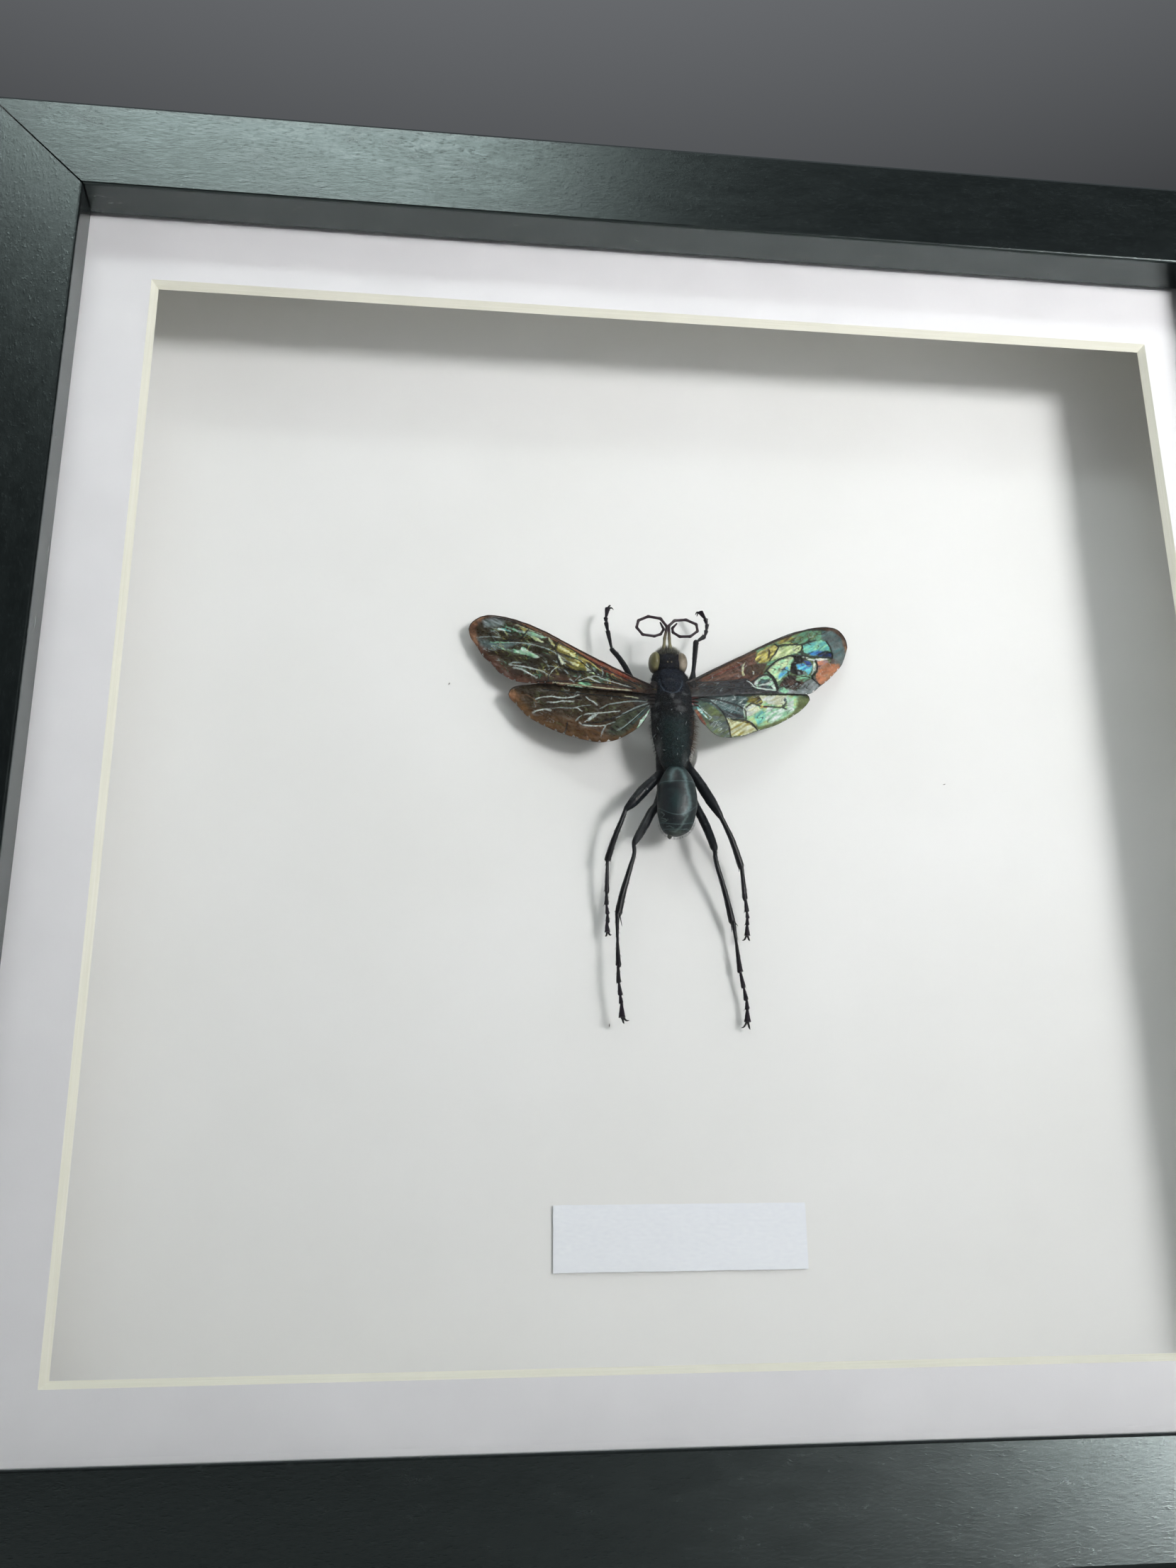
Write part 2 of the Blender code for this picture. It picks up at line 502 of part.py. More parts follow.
def make_wasp():
    """The whole dried insect as one solid: every part is joined to the thorax by a union."""
    parts = [body_loft(ABDOMEN), ball(-0.4, 27.0, 7.5, 3.1, 2.6, 2.7)]
    for x in EYES:
        parts.append(ball(x, 27.0, 7.8, 0.95, 1.95, 2.0))
    parts.append(ball(-0.4, 29.0, 7.1, 2.0, 1.15, 1.9, segments=10, rings=6))
    parts.append(ball(-0.75, -5.85, 6.5, 0.4, 0.45, 0.45, segments=8, rings=6))
    for outline in WINGS.values():
        parts.append(wing(**outline))
    for points, radii, shin, claw_tips, spur_tips in LEGS.values():
        parts.append(tube(points, radii))
        parts += claws(points, claw_tips)
        parts += spurs(points, shin, spur_tips)
    for points in ANTENNAE.values():
        parts.append(tube(points, [0.3, 0.34, 0.26, 0.24] + [0.22] * 8 + [0.15], sides=6))
    limbs = bpy.data.collections.new("wasp_limbs")
    bpy.context.scene.collection.children.link(limbs)
    for number, bm in enumerate(parts):
        limb = to_object("limb_%d" % number, bm, "wasp_shell")
        bpy.context.scene.collection.objects.unlink(limb)
        limbs.objects.link(limb)
    thorax = to_object("wasp", body_loft(THORAX), "wasp_shell")
    union = thorax.modifiers.new("union", "BOOLEAN")
    union.operation = "UNION"
    union.operand_type = "COLLECTION"
    union.collection = limbs
    union.solver = "EXACT"
    bpy.context.view_layer.update()
    whole = thorax.evaluated_get(bpy.context.evaluated_depsgraph_get())
    mesh = bpy.data.meshes.new_from_object(whole)
    thorax.modifiers.clear()
    thorax.data = mesh
    mesh.name = "wasp"
    for limb in list(limbs.objects):
        bpy.data.objects.remove(limb, do_unlink=True)
    bpy.data.collections.remove(limbs)
    mesh.shade_smooth()
    mesh.set_sharp_from_angle(angle=math.radians(40))


# The dried glue from the board up to where it shows beside the waist: rings as
# (height, centre across, centre up, half width, half length)
GLUE = [(0.3, 2.0, 10.0, 2.8, 2.5), (0.8, 2.1, 10.0, 2.6, 2.3), (1.8, 2.9, 9.9, 1.9, 1.8),
        (2.7, 3.8, 9.7, 1.0, 1.4), (3.5, 4.25, 9.6, 0.5, 1.15), (5.0, 4.4, 9.8, 0.42, 1.05),
        (6.2, 4.4, 10.0, 0.36, 0.9), (7.0, 4.3, 10.2, 0.3, 0.7), (7.4, 4.28, 10.2, 0.15, 0.35)]


def make_glue():
    turn = [2 * math.pi * k / 14 for k in range(14)]
    rings = []
    for height, x, z, half_x, half_z in GLUE:
        rings.append([place(x + half_x * math.cos(a), z + half_z * math.sin(a), height) for a in turn])
    to_object("glue", loft(rings), "clear_glue", smooth=50)


def main():
    clear_scene()
    make_rails()
    make_sheets()
    make_mat()
    make_label()
    make_clips()
    make_hanger()
    make_wasp()
    make_glue()


main()
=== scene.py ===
"""The looks of a dried wasp in a shadow-box frame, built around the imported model.

Lengths of the specimen are in millimetres from the middle of the mat's window: across, up, and
off the board. world() turns them into metres.
"""
import math

import bmesh
import bpy
import numpy as np
from mathutils import Matrix, Vector, noise

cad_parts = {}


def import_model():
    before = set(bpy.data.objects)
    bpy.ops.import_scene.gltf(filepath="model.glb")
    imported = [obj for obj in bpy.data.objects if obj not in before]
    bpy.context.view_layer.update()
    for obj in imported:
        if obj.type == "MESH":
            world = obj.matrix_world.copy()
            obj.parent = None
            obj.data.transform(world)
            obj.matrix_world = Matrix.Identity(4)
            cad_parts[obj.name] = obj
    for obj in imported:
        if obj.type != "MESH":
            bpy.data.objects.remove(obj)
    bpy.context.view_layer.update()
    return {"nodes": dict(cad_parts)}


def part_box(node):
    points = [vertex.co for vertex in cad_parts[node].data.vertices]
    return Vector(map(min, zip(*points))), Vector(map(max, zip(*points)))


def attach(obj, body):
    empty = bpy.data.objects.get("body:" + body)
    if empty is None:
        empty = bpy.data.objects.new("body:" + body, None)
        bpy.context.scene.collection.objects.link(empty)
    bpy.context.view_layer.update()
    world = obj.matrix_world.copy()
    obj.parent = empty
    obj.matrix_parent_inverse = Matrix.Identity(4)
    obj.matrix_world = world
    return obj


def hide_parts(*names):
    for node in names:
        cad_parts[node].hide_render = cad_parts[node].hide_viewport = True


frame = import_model()

MM = 0.001

# Camera, found by fitting a pinhole to the photograph's frame, mat and window edges
PHOTO_WIDTH = 1659
PHOTO_HEIGHT = 2212
FOCAL_PIXELS = 2361.9
CENTRE_PIXEL = 962.5
SENSOR = 36.0
CAMERA_AT = Vector((-0.04064, -0.2757, 0.02187))
CAMERA_VIEW = Vector((0.14259, 0.92361, 0.35583))
CAMERA_UP = Vector((-0.02478, -0.35606, 0.93413))

# Places taken from the frame
BOARD_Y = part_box("mount_board")[0].y
MAT_LOW, MAT_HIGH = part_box("mat")
WINDOW_DROP = 1.4 * MM
WINDOW_Z = (MAT_LOW.z + MAT_HIGH.z) / 2 - WINDOW_DROP

rng = np.random.default_rng(7)


def rgb(r, g, b):
    """A display colour from 0 to 255 as a linear one."""
    return tuple(c / 3294.6 if c < 10.3 else ((c / 255 + 0.055) / 1.055) ** 2.4 for c in (r, g, b))


class Shader:
    """One Principled material and short calls for the nodes that feed it."""

    def __init__(self, name, **values):
        self.material = bpy.data.materials.new(name)
        self.material.use_nodes = True
        self.tree = self.material.node_tree
        self.shader = self.tree.nodes["Principled BSDF"]
        for socket, value in values.items():
            self.shader.inputs[socket.replace("_", " ")].default_value = value

    def feed(self, socket, value):
        if isinstance(value, bpy.types.NodeSocket):
            self.tree.links.new(value, socket)
        elif value is not None:
            wide = hasattr(socket.default_value, "__len__") and len(socket.default_value) == 4
            socket.default_value = (*value[:3], 1) if wide else value

    def node(self, kind, *inputs, **settings):
        made = self.tree.nodes.new("ShaderNode" + kind)
        for name, value in settings.items():
            setattr(made, name, value)
        for number, value in enumerate(inputs):
            self.feed(made.inputs[number], value)
        return made

    def set(self, socket, value):
        self.feed(self.shader.inputs[socket], value)

    def place(self, x=1.0, y=1.0, z=1.0):
        """Object coordinates in metres, stretched along each axis."""
        coords = self.node("TexCoord").outputs["Object"]
        return self.node("Mapping", coords, None, None, (x, y, z)).outputs[0]

    def attribute(self, name):
        return self.node("Attribute", attribute_name=name).outputs["Color"]

    def noise(self, scale, detail=4, roughness=0.55, vector=None, distortion=0.0):
        made = self.node("TexNoise", vector or self.place())
        made.inputs["Scale"].default_value = scale
        made.inputs["Detail"].default_value = detail
        made.inputs["Roughness"].default_value = roughness
        made.inputs["Distortion"].default_value = distortion
        return made.outputs["Fac"]

    def cells(self, scale, vector=None, feature="F1"):
        made = self.node("TexVoronoi", vector or self.place(), feature=feature)
        made.inputs["Scale"].default_value = scale
        return made.outputs["Distance"]

    def ramp(self, source, *stops):
        made = self.node("ValToRGB", source)
        elements = made.color_ramp.elements
        while len(elements) < len(stops):
            elements.new(0.5)
        for element, (at, colour) in zip(elements, stops):
            element.position = at
            element.color = (*colour[:3], 1)
        return made.outputs["Color"]

    def span(self, source, low, high, to_low=0.0, to_high=1.0):
        return self.node("MapRange", source, low, high, to_low, to_high).outputs[0]

    def math(self, operation, a, b=None):
        return self.node("Math", a, b, operation=operation).outputs[0]

    def mix(self, factor, a, b, blend="MIX"):
        made = self.node("Mix", data_type="RGBA", blend_type=blend)
        self.feed(made.inputs[0], factor)
        self.feed(made.inputs[6], a)
        self.feed(made.inputs[7], b)
        return made.outputs[2]

    def bump(self, height, distance, strength=1.0):
        made = self.node("Bump")
        made.inputs["Strength"].default_value = strength
        made.inputs["Distance"].default_value = distance
        self.feed(made.inputs["Height"], height)
        self.set("Normal", made.outputs[0])


def wear(material, *nodes):
    """Give CAD nodes their finish."""
    for node in nodes:
        for slot in frame["nodes"][node].material_slots:
            slot.material = material


# Finishes of the frame

def black_wood(name, along):
    """Satin black paint over a fine grain that runs along the rail."""
    made = Shader(name, Specular_IOR_Level=0.8, IOR=1.68, Specular_Tint=(0.86, 1, 0.99, 1))
    run = made.place(**{along: 0.4})
    grain = made.noise(1500, 6, 0.7, run)
    mottle = made.noise(420, 6, 0.7, run)
    pores = made.span(made.noise(2600, 3, 0.5, run), 0.58, 0.75)
    tone = made.ramp(mottle, (0.3, (0.0012, 0.0026, 0.0026)), (0.72, (0.003, 0.0052, 0.0052)))
    made.set("Base Color", made.mix(pores, tone, (0.01, 0.014, 0.014)))
    made.set("Roughness", made.span(mottle, 0.3, 0.7, 0.22, 0.28))
    made.bump(made.math("ADD", grain, made.math("MULTIPLY", pores, 0.5)), 0.00004, 0.5)
    return made.material


def mat_card():
    """White card with a soft tooth, and a cream core where the bevel is cut."""
    made = Shader("white_card", Roughness=0.85, Specular_IOR_Level=0.2)
    facing = made.node("SeparateXYZ", made.node("NewGeometry").outputs["True Normal"]).outputs[1]
    cut = made.span(made.math("ABSOLUTE", facing), 0.93, 0.85)
    tooth = made.noise(3800, 5, 0.65)
    sheet = made.ramp(made.noise(60, 3), (0.3, rgb(228, 227, 229)), (0.7, rgb(235, 234, 236)))
    layers = made.noise(1200, 3, 0.6, made.place(0.05, 6, 0.05))
    core = made.ramp(layers, (0.3, rgb(240, 238, 222)), (0.7, rgb(250, 248, 236)))
    made.set("Base Color", made.mix(cut, sheet, core))
    made.bump(made.math("ADD", tooth, made.math("MULTIPLY", made.cells(2500), 0.4)), 0.00003, 0.35)
    return made.material


def board_face():
    """Off-white board under the specimen, faintly mottled, with a fine paper tooth."""
    made = Shader("white_foam", Roughness=0.8, Specular_IOR_Level=0.25)
    cloud = made.noise(22, 4, 0.5)
    made.set("Base Color", made.ramp(cloud, (0.3, rgb(232, 232, 230)), (0.75, rgb(237, 237, 236))))
    made.bump(made.noise(4200, 4, 0.6), 0.00002, 0.25)
    return made.material


def label_paper():
    made = Shader("label_paper", Roughness=0.75, Specular_IOR_Level=0.25)
    fibres = made.noise(2400, 5, 0.65, made.place(0.4, 1, 1))
    made.set("Base Color", made.ramp(fibres, (0.25, rgb(232, 235, 242)), (0.75, rgb(243, 246, 250))))
    made.bump(fibres, 0.00003, 0.3)
    return made.material


def hardboard():
    """Pressed brown fibre with dark and pale flecks."""
    made = Shader("hardboard", Roughness=0.7, Specular_IOR_Level=0.3)
    fibres = made.noise(900, 6, 0.7, made.place(0.5, 1, 1), 1.5)
    flecks = made.span(made.cells(1400), 0.0, 0.25, 1.0, 0.0)
    tone = made.ramp(fibres, (0.3, rgb(96, 66, 42)), (0.5, rgb(128, 92, 60)), (0.72, rgb(158, 121, 84)))
    made.set("Base Color", made.mix(made.math("MULTIPLY", flecks, 0.35), tone, rgb(70, 46, 30)))
    made.bump(fibres, 0.00008, 0.6)
    return made.material


def bright_steel():
    """Zinc-plated sheet, brushed one way, with duller patches."""
    made = Shader("bright_steel", Metallic=1.0)
    brush = made.noise(3000, 4, 0.6, made.place(0.08, 1, 1))
    patches = made.noise(180, 4, 0.6)
    made.set("Base Color", made.ramp(patches, (0.3, rgb(176, 178, 180)), (0.7, rgb(208, 210, 212))))
    made.set("Roughness", made.span(brush, 0.3, 0.7, 0.24, 0.42))
    made.bump(brush, 0.00001, 0.4)
    return made.material


def clear_sheet():
    made = Shader("clear_acrylic", Roughness=0.0, IOR=1.49, Transmission_Weight=1.0)
    smudges = made.noise(35, 4, 0.6)
    made.set("Base Color", made.ramp(smudges, (0.3, (0.985, 0.99, 0.99)), (0.7, (0.995, 1, 1))))
    made.set("Roughness", made.span(smudges, 0.62, 0.9, 0.0, 0.02))
    return made.material


def finish_frame():
    wear(black_wood("black_wood_across", "x"), "frame_rail_top", "frame_rail_bottom")
    wear(black_wood("black_wood_upright", "z"), "frame_rail_left", "frame_rail_right")
    wear(mat_card(), "mat", "spacer_top", "spacer_bottom", "spacer_left", "spacer_right")
    wear(board_face(), "mount_board")
    wear(hardboard(), "back_panel")
    wear(bright_steel(), "hanger", *["clip_%d" % number for number in range(1, 9)])
    wear(clear_sheet(), "glazing")
    frame["nodes"]["glazing"].visible_shadow = False


# Mesh helpers

def world(points):
    """Specimen points (across, up, height) in millimetres as world points in metres."""
    p = np.asarray(points, float)
    return np.stack([p[..., 0] * MM, BOARD_Y - p[..., 2] * MM, WINDOW_Z + p[..., 1] * MM], axis=-1)


def unit(rows):
    """Each row scaled to length 1."""
    return rows / np.linalg.norm(rows, axis=-1, keepdims=True)


def running_length(points):
    """Distance along a line, at each of its points."""
    return np.concatenate([[0], np.cumsum(np.linalg.norm(np.diff(points, axis=0), axis=1))])


def blend(under, over, share):
    """Colours with a share of another laid over them."""
    return under * (1 - share) + np.array(over) * share


def spline(points, step=None, count=None):
    """Evenly spaced rows on a Catmull-Rom curve. The first three columns are a place."""
    given = np.array(points, float)
    ends = np.vstack([2 * given[0] - given[1], given, 2 * given[-1] - given[-2]])
    t = np.arange(16)[:, None] / 16
    fine = []
    for a, b, c, d in zip(ends, ends[1:], ends[2:], ends[3:]):
        fine.append(0.5 * (2 * b + (c - a) * t + (2 * a - 5 * b + 4 * c - d) * t * t
                           + (3 * b - 3 * c + d - a) * t ** 3))
    fine = np.vstack(fine + [given[-1:]])
    run = running_length(fine[:, :3])
    count = count or max(3, int(round(run[-1] / step)) + 1)
    want = np.linspace(0, run[-1], count)
    return np.stack([np.interp(want, run, column) for column in fine.T], axis=1)


def lumps(points, scale, seed=0.0):
    """Smooth noise from -1 to 1 at each place, with lumps about 1 / scale wide."""
    shift = Vector((seed * 13.7, seed * 7.1, seed * 3.3))
    flat = np.asarray(points, float).reshape(-1, 3) * scale
    values = [noise.noise(Vector(p) + shift) for p in flat.tolist()]
    return np.array(values).reshape(np.shape(points)[:-1])


def smoothstep(low, high, value):
    t = np.clip((value - low) / (high - low), 0, 1)
    return t * t * (3 - 2 * t)


def ring_faces(n, m, closed=True):
    """Quads between n rows of m points."""
    last = m if closed else m - 1
    return [(r * m + i, r * m + (i + 1) % m, (r + 1) * m + (i + 1) % m, (r + 1) * m + i)
            for r in range(n - 1) for i in range(last)]


def solid_faces(n, m):
    """Quads between n closed rings of m points, and a flat face on each end."""
    return ring_faces(n, m) + [tuple(reversed(range(m))), tuple((n - 1) * m + i for i in range(m))]


def sheet_faces(faces, rim, count):
    """Front, back and edge of a sheet whose back repeats the front's count points."""
    return (faces + [tuple(i + count for i in reversed(face)) for face in faces]
            + [(a, b, b + count, a + count) for a, b in zip(rim, rim[1:] + rim[:1])])


class Skin:
    """One mesh grown from tubes and sheets, with a colour at each point."""

    def __init__(self):
        self.points = []
        self.faces = []
        self.colours = []
        self.count = 0

    def add(self, points, colour, faces=None):
        """Add closed rings, or points with their faces. The colour is one, or one a row or a point."""
        points = np.asarray(points, float)
        colour = np.asarray(colour, float)
        if colour.ndim == 2 and points.ndim == 3:
            colour = colour[:, None]
        if faces is None:
            faces = solid_faces(*points.shape[:2])
        self.colours.append(np.broadcast_to(colour, points.shape).reshape(-1, 3))
        self.points.append(points.reshape(-1, 3))
        self.faces += [tuple(i + self.count for i in face) for face in faces]
        self.count += len(self.points[-1])

    def build(self, name, material, slot, replaces=()):
        mesh = bpy.data.meshes.new(name)
        mesh.from_pydata(np.vstack(self.points).tolist(), [], self.faces)
        tint = mesh.color_attributes.new("tint", "FLOAT_COLOR", "POINT")
        shades = np.vstack(self.colours)
        tint.data.foreach_set("color", np.hstack([shades, np.ones((len(shades), 1))]).ravel())
        bm = bmesh.new()
        bm.from_mesh(mesh)
        bmesh.ops.recalc_face_normals(bm, faces=bm.faces)
        bm.to_mesh(mesh)
        bm.free()
        mesh.shade_smooth()
        mesh.set_sharp_from_angle(angle=math.radians(60))
        mesh.materials.append(material)
        made = bpy.data.objects.new(name, mesh)
        bpy.context.scene.collection.objects.link(made)
        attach(made, "root")
        if replaces:
            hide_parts(*replaces)
        return made


def tube_rings(path, radii, sides, flat=1.0):
    """Rings in metres round a path of specimen points, flat times as deep as they are wide."""
    centre = world(path)
    run = unit(np.gradient(centre, axis=0))
    depth = np.array((0, 1.0, 0))
    u = unit(depth - (run @ depth)[:, None] * run)
    v = np.cross(run, u)
    a = 2 * math.pi * np.arange(sides) / sides
    ring = flat * np.cos(a)[None, :, None] * u[:, None] + np.sin(a)[None, :, None] * v[:, None]
    return centre[:, None] + ring * (np.asarray(radii) * MM)[:, None, None]


def tube(skin, points, radii, step, sides, colour, flat=1.0, rough=0.0):
    """A limb on a smooth path, with straight tapers between the radii at its points."""
    rows = spline(np.column_stack([points, np.arange(len(radii))]), step)
    size = np.maximum(np.interp(rows[:, 3], np.arange(len(radii)), radii), 0.02)
    rings = tube_rings(rows[:, :3], size, sides, flat)
    if rough:
        centre = world(rows[:, :3])[:, None]
        bumps = 1 + rough * lumps(rings / MM, 2.2)
        rings = centre + (rings - centre) * bumps[..., None]
    skin.add(rings, colour(np.linspace(0, 1, len(rows))) if callable(colour) else colour)


def sliver(skin, x, up, height, long, lean, radii, step, colour, rough):
    """A short pointed grain that lies at a height, leaning from upright in radians."""
    ends = [(x + s * long / 2 * math.sin(lean), up + s * long / 2 * math.cos(lean)) for s in (-1, 0, 1)]
    tube(skin, [(a, b, height(a, b)) for a, b in ends], radii, step, 8, colour, rough=rough)


# Shape of the specimen, close to the CAD model's

# Each body as rings: up, centre across, half width, height off the board, half depth
THORAX = [
    (25.6, -0.3, 1.9, 7.5, 1.6), (25.1, -0.25, 2.7, 7.5, 2.3), (24.3, -0.15, 3.2, 7.5, 2.8),
    (23.3, 0.05, 3.5, 7.5, 3.1), (22.4, 0.15, 3.6, 7.5, 3.2), (21.8, 0.2, 3.7, 7.5, 3.5),
    (20.0, 0.2, 3.85, 7.5, 3.7), (17.6, 0.2, 3.9, 7.4, 3.7), (16.4, 0.25, 3.9, 7.3, 3.4),
    (15.3, 0.25, 3.88, 7.2, 3.35), (13.0, 0.22, 3.7, 7.1, 3.2), (10.5, 0.27, 3.2, 6.9, 2.9),
    (8.4, 0.4, 2.6, 6.8, 2.5), (7.2, 0.45, 2.0, 6.8, 1.9), (6.4, 0.45, 1.1, 6.8, 1.1)]
ABDOMEN = [
    (7.3, 0.6, 0.9, 7.1, 0.9), (6.6, 0.6, 1.7, 7.15, 1.6), (5.6, 0.65, 2.4, 7.2, 2.2),
    (4.4, 0.68, 3.0, 7.15, 2.65), (3.3, 0.7, 3.35, 7.1, 2.85), (1.8, 0.73, 3.62, 7.0, 3.0),
    (0.2, 0.72, 3.68, 6.9, 3.05), (-1.5, 0.63, 3.6, 6.8, 2.95), (-2.6, 0.57, 3.44, 6.75, 2.76),
    (-3.7, 0.5, 3.12, 6.7, 2.5), (-4.6, 0.45, 2.72, 6.6, 2.2), (-5.2, 0.38, 2.2, 6.55, 1.8),
    (-5.6, 0.32, 1.6, 6.5, 1.35), (-5.9, 0.25, 0.9, 6.5, 0.8)]
HEAD = [
    (24.45, -0.4, 0.8, 7.5, 0.8), (24.8, -0.4, 1.7, 7.5, 1.6), (25.4, -0.4, 2.45, 7.5, 2.2),
    (26.1, -0.4, 2.95, 7.5, 2.55), (27.0, -0.4, 3.05, 7.5, 2.65), (27.9, -0.4, 2.85, 7.45, 2.5),
    (28.7, -0.4, 2.35, 7.3, 2.25), (29.3, -0.4, 1.95, 7.15, 1.95), (29.85, -0.4, 1.4, 7.1, 1.45),
    (30.15, -0.4, 0.6, 7.1, 0.7)]

# Each eye: centre, then its dark and light tones. The right eye's tones are paler: painted light,
# where the light falls on that side.
EYES = {"left": ((-2.8, 27.0, 7.8), rgb(100, 96, 62), rgb(134, 128, 90)),
        "right": ((1.95, 27.0, 7.8), rgb(124, 112, 94), rgb(176, 164, 148))}
EYE_HALF = (1.18, 1.95, 2.2)

# Where the wings leave the body, how far they reach past it, and how high they arch
HINGE = 3.5
WING_REACH = 33.0
ARCH = 0.25

# Each wing: its side, how high it leaves the body, how fast it sinks outwards, and its leading and
# trailing edges from base to tip, outwards and up
WINGS = {
    "fore_left": dict(
        side=-1, base=9.7, droop=0.22,
        lead=[(2.6, 21.4), (4.2, 21.9), (7.4, 23.7), (12.0, 26.5), (17.6, 30.1), (23.0, 33.7),
              (27.9, 36.2), (31.7, 37.4), (33.8, 37.4), (35.1, 36.8), (36.0, 35.9), (36.3, 34.9)],
        trail=[(2.6, 20.2), (4.2, 20.1), (7.9, 20.7), (11.8, 21.2), (17.6, 22.2), (21.9, 23.0),
               (27.3, 23.8), (30.4, 25.6), (32.2, 27.8), (33.7, 29.4), (34.8, 31.4), (35.9, 33.2),
               (36.3, 34.9)]),
    "fore_right": dict(
        side=1, base=9.7, droop=0.26,
        lead=[(2.6, 22.4), (4.1, 23.2), (8.2, 25.9), (14.4, 29.8), (21.1, 33.9), (26.5, 36.7),
              (30.0, 37.9), (31.9, 38.1), (33.3, 37.8), (34.3, 36.8), (34.8, 35.6), (34.9, 34.4)],
        trail=[(2.6, 19.8), (4.1, 19.8), (9.1, 20.7), (16.5, 22.2), (22.2, 23.0), (26.4, 23.6),
               (28.7, 25.5), (30.6, 27.2), (32.2, 29.0), (33.4, 30.5), (34.1, 32.0), (34.9, 34.4)]),
    "hind_left": dict(
        side=-1, base=8.9, droop=0.215,
        lead=[(2.6, 19.6), (4.1, 20.3), (7.9, 21.3), (11.8, 22.0), (17.6, 23.0), (21.9, 23.5),
              (25.3, 23.3), (27.6, 23.2), (28.6, 22.6), (29.0, 21.7)],
        trail=[(2.6, 17.8), (3.9, 17.6), (4.5, 16.2), (5.4, 14.7), (6.6, 13.6), (8.4, 12.5),
               (9.9, 11.8), (11.5, 11.5), (13.4, 11.5), (16.6, 12.4), (19.7, 13.6), (22.7, 15.2),
               (25.5, 17.1), (27.5, 19.5), (28.7, 20.9), (29.0, 21.7)]),
    "hind_right": dict(
        side=1, base=8.9, droop=0.25,
        lead=[(2.6, 19.2), (4.2, 19.9), (9.1, 21.4), (16.5, 22.9), (21.5, 23.6), (25.4, 23.7),
              (26.4, 23.4), (26.6, 22.6)],
        trail=[(2.6, 17.6), (4.1, 17.3), (5.1, 15.6), (6.3, 14.5), (7.4, 13.5), (8.9, 12.9),
               (10.7, 13.0), (13.0, 13.6), (15.8, 14.9), (19.0, 16.3), (21.5, 17.8), (24.2, 19.8),
               (25.8, 21.4), (26.6, 22.6)]),
}

